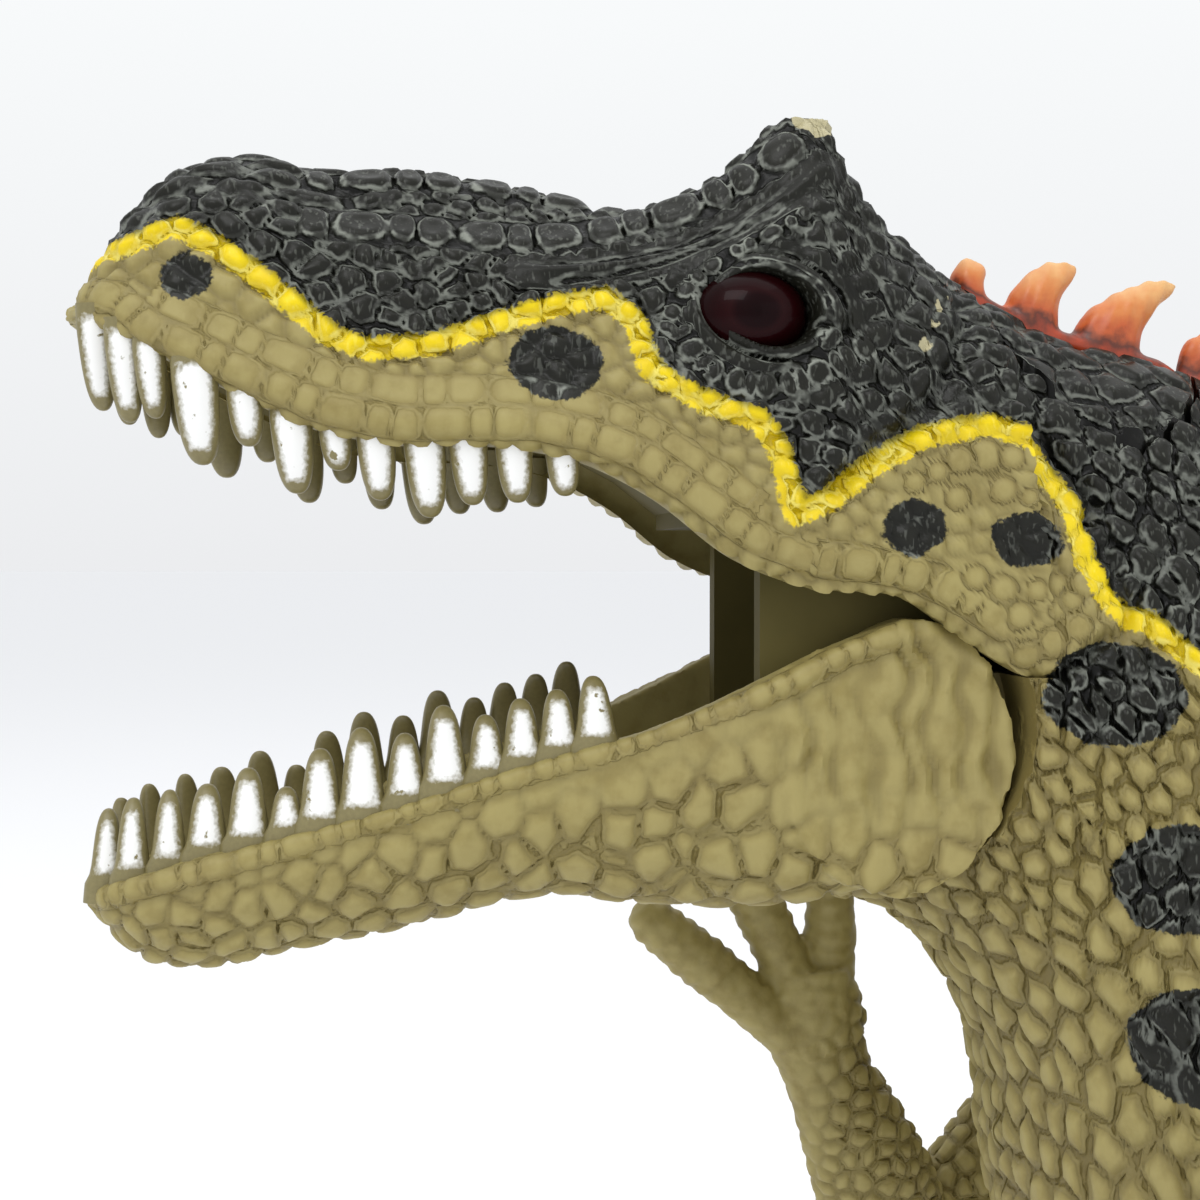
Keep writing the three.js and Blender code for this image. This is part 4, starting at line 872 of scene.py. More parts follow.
# %% The skull as one closed strip
def open_shell(name, rings, outer_count):
    """A closed skin over rings that run out along the outside and back along the inside."""
    rows, count = rings.shape[:2]
    faces, i, j = belts(rows, count)
    inner_count = count - outer_count
    outer, inner = 0, 0
    while outer < outer_count - 1 or inner < inner_count - 1:
        here, there = outer, count - 1 - inner
        if (outer + 1) / outer_count <= (inner + 1) / inner_count and outer < outer_count - 1:
            faces.append([here + 1, here, there])
            outer += 1
        else:
            faces.append([here, there, there - 1])
            inner += 1
    start = (rows - 1) * count
    points = np.vstack([rings.reshape(-1, 3), rings[-1].mean(0)])
    faces += np.stack([start + i, start + j, np.full(count, rows * count)], axis=1).tolist()
    return piece(name, points, facing_out(points, faces))


skull = open_shell("skull", rings, outer_count)
is_outer = np.append(np.tile(np.arange(rings.shape[1]) < outer_count, len(rings)), True)
print("skull points:", len(is_outer))

# %% [markdown]
# ### Sculpting the head
# The head carries the features that one looks at first. Brow beads, ridge grooves, eyelids, the deep fold
# behind the cheek and the lip plates are laid over a carpet of small scales, largest first, as a sculptor
# works.

# %% Lines of the head
BROW_BEADS = [
    (-127.2, 7.0, 151.7), (-124, 6.9, 151.6), (-120.3, 6.8, 151.5), (-116.2, 6.9, 151.2),
    (-112.4, 7.1, 151.0), (-109.3, 7.1, 151.2), (-106.5, 7.2, 151.7), (-103.8, 7.4, 152.4),
    (-99.8, 8.1, 153.3), (-97, 8.4, 154.6), (-94.6, 8.5, 156.1), (-92.4, 8.0, 157.9),
]
CROWN_BEADS = [
    (-127, 3.2, 154.6), (-120.3, 2.8, 155.6), (-115.3, 2.6, 155.4), (-110, 2.7, 154.7),
    (-104.5, 3.2, 153.8), (-99, 3.8, 153),
]
RIDGE_GROOVES = [
    [
        (-113, 8.2, 148.9), (-109.5, 8.8, 149.1), (-105.5, 9.3, 149.4), (-101.4, 9.9, 150.2),
        (-98, 10.2, 151.6), (-94.6, 10.2, 153.7), (-91.6, 9.6, 156),
    ],
    [
        (-110, 9.6, 147.6), (-106.9, 9.8, 148.1), (-102.8, 10.1, 149), (-98.8, 10.5, 150.5),
        (-95.4, 10.7, 152.2), (-91.4, 10.4, 154.6),
    ],
]
RIDGE = [
    (-112, 8.9, 148.3), (-108, 9.4, 148.6), (-104, 9.7, 149.2), (-100.3, 10.2, 150.2), (-97, 10.4, 151.7),
    (-93.5, 10.4, 153.9), (-91.2, 10, 155.7),
]
LID_BEADS = [
    (-102.8, 12.8, 140.8), (-102.9, 12.2, 142.8), (-102.5, 11.7, 144.7), (-101.7, 11.3, 146.4),
    (-100.3, 11.1, 147.9), (-98.5, 11.0, 149.2), (-96.5, 11.1, 150.2), (-94.5, 11.2, 151.3),
    (-92.7, 11.1, 152.4),
]
UNDER_EYE = [
    (-102.0, 12.2, 144.4), (-101.2, 12.4, 143.0), (-99.9, 12.9, 141.5), (-97.9, 13.2, 140.5),
    (-95.6, 13.5, 140.3), (-93.2, 13.5, 141.0), (-90.9, 13.4, 142.2), (-89.0, 13.5, 143.4),
]
EYE_CREASE = [(-92.5, 13.1, 144.6), (-91.2, 13.2, 144.4), (-89.8, 13.3, 144)]
CHEEK_FOLD = [
    (-80, 5.6, 149.9), (-81.5, 10.9, 145.9), (-82.8, 12.8, 142.4), (-84.4, 13.7, 139.9),
    (-86.9, 14.2, 137.5), (-89.4, 14.4, 135.7), (-91.8, 14.6, 133.6),
]
LIP = np.array([
    (-142.4, 5.2, 146.3), (-141.2, 6.4, 145.8), (-138.8, 8.2, 145), (-136.8, 9.1, 143),
    (-133.4, 9.8, 141.4), (-129.5, 10.4, 139.5), (-125, 10.9, 137.6), (-120.4, 11.6, 136.6),
    (-115.8, 12.2, 136.7), (-111.9, 12.8, 136.7), (-108, 13.4, 135.9), (-104.8, 13.9, 134.7),
    (-100.8, 14.5, 131.8), (-96.7, 14.9, 128.8), (-93.2, 15.1, 127.5), (-89.3, 15.2, 127.1),
    (-85.4, 15.3, 126.2), (-82.5, 15.5, 124.8), (-80.3, 15.6, 123.2), (-77.8, 15.6, 122.9),
])
# Round lumps at the back of the cheek, on both sides of the seam between head and neck.
CHEEK_LUMPS = [
    (-80.4, 14.9, 133.5, 1.0), (-81.6, 14.6, 135.8, 1.2), (-79.7, 14.8, 135.7, 0.9),
    (-83.3, 14.6, 135.5, 1.0), (-84.8, 14.6, 134.7, 0.8), (-86.4, 14.6, 134.0, 0.8),
    (-83.5, 14.8, 133.0, 0.9), (-78.6, 15.1, 133.0, 0.7), (-82.4, 15.3, 127.7, 0.9),
    (-80.5, 15.4, 126.9, 1.0), (-79.4, 15.5, 125.1, 1.0), (-78.2, 15.4, 126.8, 0.8),
    (-76.6, 14.8, 127.2, 0.8), (-76.8, 15.0, 125.4, 0.8), (-75.6, 14.9, 126.1, 0.8),
    (-75.3, 15.2, 124.3, 1.0), (-77.2, 15.3, 123.3, 1.1), (-78.8, 14.9, 122.6, 1.1),
    (-73.0, 15.4, 125.1, 0.85), (-74.6, 14.8, 127.3, 1.05), (-77.0, 12.8, 135.3, 0.8),
    (-76.2, 12.9, 133.6, 0.8), (-75.0, 13.1, 132.8, 0.9), (-74.5, 14.2, 129.8, 0.95),
    (-73.7, 14.8, 128.0, 0.85), (-75.4, 13.6, 131.4, 0.8),
]
# The crease behind the cheek, where the head's skin ends on the neck.
CHEEK_EDGE = [
    (-76.7, 11.1, 138.0), (-75.6, 11.9, 136.3), (-74.2, 12.5, 134.6), (-73.5, 13.1, 132.9),
    (-73.9, 13.6, 131.3), (-73.1, 14.3, 129.5), (-72.5, 14.9, 127.5), (-71.8, 15.3, 126.1),
    (-71.9, 15.5, 124.4), (-73.3, 15.6, 123.6), (-75.0, 15.6, 122.3), (-76.5, 15.5, 121.2),
]
EYE = (-95.75, 145.6)
EYE_HALF = (3.2, 2.4)
EYE_TILT = math.radians(-16)


def round_eye(points):
    """Distance from the eye's middle in eye sizes, and the direction round it, in side view."""
    dx, dz = points[:, 0] - EYE[0], points[:, 2] - EYE[1]
    across = dx * math.cos(EYE_TILT) + dz * math.sin(EYE_TILT)
    up = -dx * math.sin(EYE_TILT) + dz * math.cos(EYE_TILT)
    return np.hypot(across / EYE_HALF[0], up / EYE_HALF[1]), np.arctan2(up, -across)


# %% Sculpt the skull
P = points_of(skull)[is_outer]
x, y, z = P.T
relief = Relief(P)
size = 1.3 + 0.35 * smoothstep(-97, -90, x) * smoothstep(134, 142, z) + 0.3 * smoothstep(-116, -126, x)
relief.scales(size, 0.34, seed=11, shoulder=0.36)
under_line = smoothstep(-0.8, -2, z - np.interp(x, *PAINT_LINE.T))
relief.calm(0.3 * under_line)
snout = smoothstep(-118, -124, x) * smoothstep(8, 4, np.abs(y)) * smoothstep(149, 152, z)
relief.scales(1.7, 0.4, seed=12, stretch=stretched((1, 0, 0), 2.2), weight=snout)
rho, way = round_eye(P)
beside = np.abs(y) > 5
relief.calm((1 - smoothstep(1.6, 2.3, rho)) * beside)
relief.beads(LIP[3:14] + [0, 0, 3.4], 2.5, 1.15, 0.14, start=1.2, square=4.5)
relief.beads(LIP[:15] + [0, 0, 1.15], 2.3, 1.15, 0.2, square=4.5)
relief.height += 0.2 * np.exp(-((along_line(P, LIP[:15] + [0, 0, 1.2])[1] / 1.1) ** 2))
relief.beads(LIP[14:] + [0, 0, 1.3], 2.0, 1.35, 0.34, square=4)
relief.beads(BROW_BEADS, 2.75, 1.75, 0.62)
relief.beads(CROWN_BEADS, 2.9, 1.5, 0.8)
relief.calm(0.95 * (1 - smoothstep(1.0, 1.6, along_line(P, RIDGE)[1])))
relief.fold(RIDGE, 0.5, 0.3)
for groove in RIDGE_GROOVES:
    relief.fold(groove, 0.38, -0.4)
relief.fold(CHEEK_FOLD, 0.75, -1.0)
relief.lumps(CHEEK_LUMPS, 0.36)
upper = smoothstep(-0.25, 0.45, np.sin(way - 0.5))
lids = 0.35 * np.exp(-(((rho - 1.16) / 0.1) ** 2))
lids += 0.55 * upper * smoothstep(1.16, 1.28, rho) * (1 - smoothstep(1.46, 1.6, rho))
creases = upper * np.exp(-(((rho - 1.66) / 0.07) ** 2)) + (1 - upper) * np.exp(-(((rho - 1.4) / 0.08) ** 2))
bag = (1 - upper) * np.exp(-(((rho - 1.62) / 0.13) ** 2))
relief.height += (lids - 0.4 * creases + 0.3 * bag) * beside
# The creases round the eye get painted shade through the groove share.
relief.groove = np.maximum(relief.groove, creases * beside)
from_lid = np.where(upper > 0.5, np.minimum(np.abs(rho - 1.24), np.abs(rho - 1.66)), np.abs(rho - 1.4)) * 2.9
relief.edge = np.where(beside & (rho < 1.85), from_lid, relief.edge)
relief.beads(LID_BEADS, 1.45, 0.72, 0.42)
relief.beads(UNDER_EYE, 1.2, 1.05, 0.34)
relief.fold(EYE_CREASE, 0.35, -0.5)
height = np.zeros(len(is_outer))
height[is_outer] = relief.height
groove, edge = np.zeros(len(is_outer)), np.full(len(is_outer), FAR)
groove[is_outer], edge[is_outer] = relief.groove, relief.edge
print("relief from", round(relief.height.min(), 2), "to", round(relief.height.max(), 2), "mm")

# %% Raise the relief and sink the eye sockets
raise_skin(skull, height)
every = points_of(skull)
rho, way = round_eye(every)
socket = 5.2 * (1 - smoothstep(0.72, 1.08, rho)) * (np.abs(every[:, 1]) > 4)
raise_skin(skull, -socket, np.sign(every[:, 1])[:, None] * [0, 1, 0])
paint_edges(skull)
give(skull, "groove", groove)
give(skull, "edge", edge)
finish(skull, "figure", skin, ["skull_shell"])

# %% [markdown]
# ### Eyes
# The eye is a polished ball behind the lids. A dark pupil fades into a red iris, drawn by how far each point
# lies from the direction of the gaze.


# %% Eyeballs
def ball(name, centre, radii, rows=48, count=64):
    turn = full_turn(count)
    rings = []
    for fall in np.linspace(0.03, math.pi - 0.03, rows):
        ring = [
            np.sin(fall) * np.cos(turn) * radii[0], np.full(count, -np.cos(fall) * radii[1]),
            np.sin(fall) * np.sin(turn) * radii[2],
        ]
        rings.append(np.stack(ring, axis=1) + centre)
    return loft(name, rings)


for side, word in ((-1, "left"), (1, "right")):
    low, high = (np.array(corner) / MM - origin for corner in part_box(f"eye_{word}"))
    centre = (low + high) / 2
    radii = np.array([4, 3.2, 3.12])
    eye = ball(f"eyeball_{word}", centre, radii)
    gaze = (points_of(eye) - centre) / radii
    give(eye, "off_gaze", np.hypot(gaze[:, 0], gaze[:, 2]) * 0.5 + (gaze[:, 1] * side < 0) * 0.5)
    finish(eye, "figure", acrylic, [f"eye_{word}"])

# %% [markdown]
# ### Teeth
# Each tooth is a short bent cone, broad where it is long, rooted in the gum. The white is brushed on the
# outer face only, so the far row shows bare olive from inside. The distance to the edge of the brush mark
# is stored.

# %% Tooth rows
UPPER_TEETH = [
    (0.499, 2.6), (0.546, 3.6), (0.59, 4.0), (0.632, 4.8), (0.679, 3.9), (0.718, 2.4), (0.761, 4.9),
    (0.805, 3.2), (0.853, 6.1), (0.897, 4.5), (0.924, 5.6), (0.953, 5.8),
]
LOWER_TEETH = [
    (0.463, 4.7), (0.499, 4.4), (0.535, 4.5), (0.57, 4.2), (0.611, 5.7), (0.65, 4.7), (0.693, 5.9),
    (0.734, 5.2), (0.768, 3.2), (0.806, 5.1), (0.847, 4.7), (0.885, 5.1), (0.922, 5.3), (0.949, 5.0),
]
TOOTH_ROOT = 1.3


def tooth(x, y, z, length, broad, up, lean, rows=16, count=20):
    """Rings of one tooth, and for each point its distance inside the brush mark."""
    side = math.copysign(1, y)
    turn = full_turn(count)
    heights = np.sin(np.linspace(0, math.pi / 2, rows))
    blunt, taper = (5, 0.16) if up < 0 else (8, 0.44)
    spread = (1 - heights**blunt + 0.002) ** 0.4 * (1 - taper * heights)
    rings, marks = [], []
    for share, wide in zip(heights, spread):
        rise = -TOOTH_ROOT + share * (length + TOOTH_ROOT)
        half = broad / 2 * (wide + (0 if up < 0 else 0.3 * math.exp(-max(rise, 0) / 0.5)))
        across = np.cos(turn) * half
        out = np.sin(turn) * broad / 2 * wide * 0.7
        bend = -side * (0.1 if up < 0 else 0.25) * max(rise, 0) ** 2 / length
        rings.append(
            np.stack(
                [x + across + lean * max(rise, 0), y + out + bend, np.full(count, z + up * rise)], axis=1
            )
        )
        facing = np.sin(turn) * side
        mark = np.minimum(half - 0.5 - np.abs(across), 0.86 * length - rise - 0.2)
        mark = np.minimum(mark, rise + 0.4 if up < 0 else rise - 0.85)
        marks.append(np.where(facing > 0.15, mark, -1))
    return np.array(rings), np.concatenate(marks)


def tooth_row(name, teeth, table, width_column, height_column, inset, up, lean):
    points, faces, marks, total = [], [], [], 0
    for share, length in teeth:
        row = at_share(table, np.array([share]))[0]
        for side in (-1, 1):
            front = smoothstep(0.76, 0.84, share)
            spaced = 0.93 + 0.06 * front if up < 0 else 1 - 0.07 * front
            y = side * (row[width_column] * HALF_HEAD * spaced - inset)
            broad = (2.95 if up < 0 else 3.25) * (0.6 + 0.4 * length / 5) * (
                1 - 0.2 * smoothstep(0.86, 0.89, share)
            )
            rings, mark = tooth(head_x(share), y, head_z(row[height_column]), length, broad, up, lean)
            made = loft("tooth", rings)
            points.append(points_of(made))
            faces += [[total + v for v in face.vertices] for face in made.data.polygons]
            marks += [*mark, mark[0], -1]
            total += len(points[-1])
            discard(made)
    row = piece(name, np.vstack(points), faces)
    give(row, "white_paint", marks)
    return row


upper_teeth = tooth_row("upper_teeth", UPPER_TEETH, SKULL, 6, 7, SKULL_WALL / 2, -1, 0.08)
finish(upper_teeth, "figure", teeth_paint)

# %% [markdown]
# ## The lower jaw
# The jaw is a trough that ends in two round discs on the hinge pin. Trough and discs are fused into one
# skin, and the pin's bore is drilled after that, as on the real part, so that its edge stays crisp.

# %% Jaw slices and cutters
# Each row: length share, height shares of the rim and of the chin, width shares of the rim and of the chin.
JAW = np.array([
    (0.163, 0.075, -0.405, 0.853, 0.8),
    (0.24, 0.03, -0.43, 0.853, 0.76),
    (0.307, -0.027, -0.44, 0.84, 0.7),
    (0.365, -0.077, -0.44, 0.8, 0.62),
    (0.423, -0.12, -0.435, 0.74, 0.57),
    (0.496, -0.153, -0.42, 0.676, 0.5),
    (0.569, -0.194, -0.442, 0.63, 0.45),
    (0.667, -0.25, -0.485, 0.58, 0.4),
    (0.766, -0.295, -0.518, 0.535, 0.36),
    (0.858, -0.337, -0.552, 0.49, 0.31),
    (0.915, -0.37, -0.535, 0.44, 0.27),
    (0.95, -0.39, -0.49, 0.345, 0.2),
    (0.968, -0.405, -0.45, 0.19, 0.12),
])
# The disc's outline: degrees up from straight back, and a share of its radius.
DISC = np.array([
    (-120, 0.96), (-94, 0.99), (-76, 0.96), (-49, 0.87), (-22, 0.81), (0, 0.81), (24, 0.83), (50, 0.91),
    (69, 1.0), (88, 1.0), (109, 0.9), (150, 0.9), (195, 0.9), (240, 0.96),
])
DISC_RADIUS = 9.5
HINGE_X, HINGE_Z = hinge[0] - origin[0], hinge[2]
YOKE_OUTER = HALF_HEAD * 0.6
DISC_INNER, DISC_OUTER = YOKE_OUTER + RUNNING_GAP, HALF_HEAD * 0.853
JAW_CLOSING = math.radians(joints["jaw_hinge"]["range_deg"][1])
PIN_HOLE = 1.75


def disc_outline(closing=0.0, grow=0.0, steps=72):
    turn = np.linspace(-120, 240, steps, endpoint=False)
    swept = [
        np.interp(turn + math.degrees(closing) * part, DISC[:, 0], DISC[:, 1])
        for part in np.linspace(0, 1, 5)
    ]
    radius = np.max(swept, axis=0) * DISC_RADIUS + grow
    turn = np.radians(turn)
    return np.stack([HINGE_X + radius * np.cos(turn), HINGE_Z + radius * np.sin(turn)], axis=1)


def jaw_ring(row, shrink=1.0):
    rim, chin, rim_w, chin_w = row[1:]
    widest = DISC_OUTER / HALF_HEAD
    half = [
        (rim_w * 0.55, rim), (rim_w * 0.97, rim), (min(rim_w * 1.03, widest), rim + (chin - rim) * 0.14),
        (min((rim_w + (chin_w - rim_w) * 0.25) * 1.03, widest), rim + (chin - rim) * 0.5),
        (chin_w, rim + (chin - rim) * 0.87), (chin_w * 0.6, chin),
    ]
    ring = np.array([(-y, z) for y, z in half] + half[::-1])
    ring = through(
        ring, np.linspace(0, len(ring), 144, endpoint=False), closed=True
    ) * [HALF_HEAD, HEAD_HEIGHT]
    ring[:, 1] += SEAM_LOW[1]
    middle = ring.mean(0)
    return middle + (ring - middle) * shrink


def jaw_channel():
    rings = []
    for row in at_share(JAW, np.array([0.07, *JAW[:-2, 0]])):
        share, rim, chin, rim_w, chin_w = row
        high, low = head_z(rim) + 6, head_z(chin) + 2.6
        fork = share < 0.36
        top = max(rim_w * HALF_HEAD - JAW_WALL, DISC_INNER if fork else 0)
        floor = max(chin_w * HALF_HEAD - JAW_WALL / 2, YOKE_OUTER - 1.9 if fork else 0)
        ring = [(-floor, low), (floor, low), (top, low + 2.6), (top, high), (-top, high), (-top, low + 2.6)]
        rings.append([(head_x(share), y, z) for y, z in ring])
    rings[0] = [(head_x(0.07), y, z) for _, y, z in rings[1]]
    return loft("channel", rings)


rings = []
for share, shrink in [*((s, 1) for s in np.linspace(0.163, 0.968, 130)), (0.972, 0.7), (0.974, 0.35)]:
    ring = jaw_ring(at_share(JAW, np.array([min(share, 0.968)]))[0], shrink)
    rings.append(np.stack([np.full(len(ring), head_x(share)), ring[:, 0], ring[:, 1]], axis=1))
trough = boolean(loft("trough", rings), jaw_channel(), "DIFFERENCE")
discs = [side_slab(disc_outline(), *sorted((side * DISC_INNER, side * DISC_OUTER))) for side in (-1, 1)]
jaw = fused("jaw", [trough, *discs], 0.34, smoothing=3)
print("jaw points:", len(jaw.data.vertices))

# %% Sculpt the jaw
JAW_RIM = [
    (-142.2, 2.5, 105.6), (-141.4, 4.9, 106), (-137.2, 7.1, 107.5), (-133.8, 7.9, 108.4),
    (-127.1, 8.8, 110.3), (-120.4, 9.6, 112.5), (-113.7, 10.3, 114.6), (-107, 11.2, 116.5),
    (-100.5, 12.4, 118.8), (-97, 13.1, 120.1), (-93.9, 13.3, 121.4), (-90.4, 13.3, 123.2),
    (-87, 13.3, 124.3), (-83.9, 13.3, 124.3), (-81, 13.3, 121.6), (-79.6, 13.3, 118.8), (-79, 13.3, 115.2),
    (-79.7, 13.3, 111.4), (-82.3, 13.3, 107.6), (-86.6, 13.3, 106.1),
]
RIM_X, RIM_Z = np.array(JAW_RIM)[:12, 0], np.array(JAW_RIM)[:12, 2]
P = points_of(jaw)
N = normals_of(jaw)
x, y, z = P.T
outside = smoothstep(-0.1, 0.35, np.maximum(N[:, 1] * np.sign(y), -N[:, 2]) + 0.25 * (np.abs(y) > 12.6))
outside *= 1 - smoothstep(-90, -84, x) * (1 - smoothstep(0.4, 0.9, np.abs(N[:, 1])))
relief = Relief(P)
size = 1.75 + 0.35 * smoothstep(-135, -105, x)
relief.scales(size, 0.3, seed=21, stretch=stretched((0.2, 0, 1), 1.25), shoulder=0.25)
upper_face = smoothstep(-5.5, -2.5, z - np.interp(x, RIM_X, RIM_Z))
relief.calm((0.2 + 0.4 * smoothstep(-118, -106, x)) * upper_face)
relief.height += 0.13 * wander(P, 1.8, 4)
low_left = smoothstep(-98, -92, x) * smoothstep(108, 114, z)
relief.calm(0.8 * low_left)
ripple = np.sin(2 * math.pi * (x + 0.12 * (z - 115) + 1.4 * wander(P, 3.2, 5)) / 2.15)
ripple = ripple * (0.65 + 0.6 * wander(P, 2.6, 7)) * low_left * smoothstep(107, 113, z)
relief.height += 0.42 * ripple
# The hollows of the ripples get painted shade through the groove share.
relief.groove = np.maximum(relief.groove, 0.6 * smoothstep(0.0, 0.8, -ripple))
relief.edge = np.minimum(relief.edge, 0.44 + 0.6 * smoothstep(-0.4, 0.4, ripple) + 3 * (1 - low_left))
rim = np.array(JAW_RIM)
relief.fold(rim[:13] - [0, 0, 1.7], 0.35, -0.2)
relief.beads(rim[:13] - [0, 0, 0.5], 1.9, 1.0, 0.2, square=3)
relief.fold(rim[:15] - [0, 0, 0.6], 0.6, 0.3)
inner_edge = rim[9:] + (np.array([-86.6, 13.3, 115.4]) - rim[9:]) * [0.12, 0, 0.12]
smooth_edge = evenly(through(inner_edge, np.linspace(0, len(inner_edge) - 1, 60)), 60)
relief.height -= 0.12 * np.exp(-((along_line(P, smooth_edge)[1] / 0.4) ** 2))
relief.height += 0.16 * np.exp(-((along_line(P, (rim[9:] + inner_edge) / 2)[1] / 0.5) ** 2))
raise_skin(jaw, relief.height * outside)
give(jaw, "groove", relief.groove * outside)
give(jaw, "edge", np.where(outside > 0.5, relief.edge, FAR))
reach = DISC_OUTER - SKULL_WALL + SEAT_GAP
boolean(jaw, bar(PIN_HOLE, HINGE_X, HINGE_Z, -reach, reach), "DIFFERENCE")
throat = block(head_x(0.24), HINGE_X + DISC_RADIUS, -DISC_INNER, DISC_INNER, 0, HINGE_Z + HEAD_HEIGHT)
boolean(jaw, throat, "DIFFERENCE")
for name in ("above_line", "off_line", "in_spot", "rubbed"):
    give(jaw, name, np.full(len(jaw.data.vertices), UNPAINTED))
finish(jaw, "jaw", skin, ["lower_jaw"])
lower_teeth = tooth_row("lower_teeth", LOWER_TEETH, JAW, 3, 1, JAW_WALL / 2, 1, -0.02)
finish(lower_teeth, "jaw", teeth_paint)

# %% [markdown]
# ## Neck and trunk
# The trunk is one skin of leaning slices. Its scales grow from 2 mm on the neck to 4 mm on the flank. The
# halves, the button and all the holes are cut from it afterwards, so the pattern runs on across every split
# line.

# %% Trunk slices
# Each row: x and z shares of the slice's top point and of its bottom point from the hip, and its half width.
TRUNK = np.array([
    (-0.629, 0.567, -0.629, 0.044, 0.5),
    (-0.579, 0.553, -0.6, 0.031, 0.62),
    (-0.521, 0.511, -0.564, -0.028, 0.71),
    (-0.457, 0.483, -0.541, -0.111, 0.78),
    (-0.393, 0.456, -0.532, -0.222, 0.85),
    (-0.329, 0.428, -0.514, -0.322, 0.92),
    (-0.264, 0.397, -0.45, -0.394, 0.98),
    (-0.186, 0.361, -0.329, -0.409, 1),
    (-0.086, 0.328, -0.179, -0.372, 0.95),
    (0.029, 0.298, -0.029, -0.322, 0.87),
    (0.143, 0.27, 0.114, -0.272, 0.79),
    (0.257, 0.237, 0.243, -0.211, 0.72),
    (0.357, 0.198, 0.357, -0.127, 0.65),
])
TAIL_ROOT_X = TRUNK[-1, 0] * BODY_LENGTH
TAIL_ROOT_Z = HIP_HEIGHT + (TRUNK[-1, 1] + TRUNK[-1, 3]) / 2 * BODY_HEIGHT
SHOULDER_FACE, HIP_FACE = 0.4568 * BODY_WIDTH, 0.4636 * BODY_WIDTH
SHOULDER_X, SHOULDER_Z = shoulder[0] - origin[0], shoulder[2]


def trunk_rings(at, sides, wall=0.0):
    rows = through(TRUNK, at)
    size = np.array([BODY_LENGTH, BODY_HEIGHT])
    top = rows[:, 0:2] * size + [0, HIP_HEIGHT]
    low = rows[:, 2:4] * size + [0, HIP_HEIGHT]
    middle = (top + low) / 2
    up = top - middle
    reach = np.linalg.norm(up, axis=1, keepdims=True)
    up *= (reach - wall) / reach
    half = rows[:, 4:5] * BODY_WIDTH / 2 - wall
    turn = full_turn(sides)
    flat = middle[:, None] + up[:, None] * np.cos(turn)[None, :, None]
    across = -half * np.sin(turn) * (1 - 0.1 * np.cos(turn))
    return np.stack([flat[:, :, 0], across, flat[:, :, 1]], axis=2)


def back_z(x):
    """Height of the middle of the back over a place along the figure."""
    rows = through(TRUNK, np.linspace(0, len(TRUNK) - 1, 200))
    return np.interp(x, rows[:, 0] * BODY_LENGTH, HIP_HEIGHT + rows[:, 1] * BODY_HEIGHT)


# %% Sculpt the trunk
neck_rows = np.linspace(0, 4, 150, endpoint=False)
body_rows = np.linspace(4, len(TRUNK) - 1, 120)
trunk = loft("trunk", trunk_rings(np.concatenate([neck_rows, body_rows]), 400))
P = points_of(trunk)
x, y, z = P.T
relief = Relief(P)
behind = smoothstep(-75, -35, x)
on_top = smoothstep(134, 142, z)
size = 1.2 + 0.3 * wander(P, 5, 3) + 0.8 * smoothstep(114, 98, z) + 1.5 * behind + 0.9 * on_top
relief.scales(size, 0.42 + 0.1 * behind, seed=31, stretch=stretched((0.4, 0, -0.9), 1.45), shoulder=0.34)
relief.height += 0.3 * wander(P, 6, 8) * smoothstep(-48, -58, x)
NECK_FOLDS = [
    [(-78.5, 15, 124), (-74.5, 15.5, 120.8), (-72.4, 15.8, 116.5), (-73.8, 15.6, 111), (-77.5, 15, 105)],
    [
        (-72, 13, 128.6), (-68.4, 14, 124), (-66.4, 15, 118), (-67.6, 16, 111), (-71.5, 16, 103.5),
        (-74.6, 15, 97.5),
    ],
    [(-66, 13, 127), (-62.6, 15, 120), (-61.6, 17, 111), (-64, 17.5, 101), (-68.5, 17, 92)],
    [(-70, 11, 136.5), (-66, 12.4, 132), (-62, 13.6, 129)],
    [(-71, 16, 97), (-66, 17.5, 94), (-60.5, 18.5, 93)],
]
for fold in NECK_FOLDS:
    relief.fold(fold, 0.5, -0.4)
relief.fold(CHEEK_EDGE, 0.6, -0.9)
relief.lumps(CHEEK_LUMPS, 0.36)
joint_room = np.minimum(np.hypot(x - SHOULDER_X, z - SHOULDER_Z) / 12, np.hypot(x, z - HIP_HEIGHT) / 26)
relief.calm(0.9 * (1 - smoothstep(0.8, 1.1, joint_room)) * (np.abs(y) > 8))
relief.height = np.minimum(relief.height, 0.45) - 0.1 * (1 - smoothstep(0.8, 1.1, joint_room))
relief.hand_to(trunk)
# The flank is flat under the thigh, so that the leg swings past it.
P = points_of(trunk)
flat_share = 1 - smoothstep(27, 34, np.hypot(P[:, 0], P[:, 2] - HIP_HEIGHT))
too_wide = np.maximum(np.abs(P[:, 1]) - HIP_FACE, 0) * flat_share
raise_skin(trunk, -too_wide, np.sign(P[:, 1])[:, None] * [0, 1, 0])
print(
    "trunk points:", len(P), "relief from", round(relief.height.min(), 2), "to",
    round(relief.height.max(), 2)
)


# %% Cut the body halves
def copy_of(thing, name, shift=(0, 0, 0)):
    made = bpy.data.objects.new(name, thing.data.copy())
    bpy.context.scene.collection.objects.link(made)
    if any(shift):
        raise_skin(
            made, np.ones(len(made.data.vertices)), np.broadcast_to(shift, (len(made.data.vertices), 3))
        )
    return made


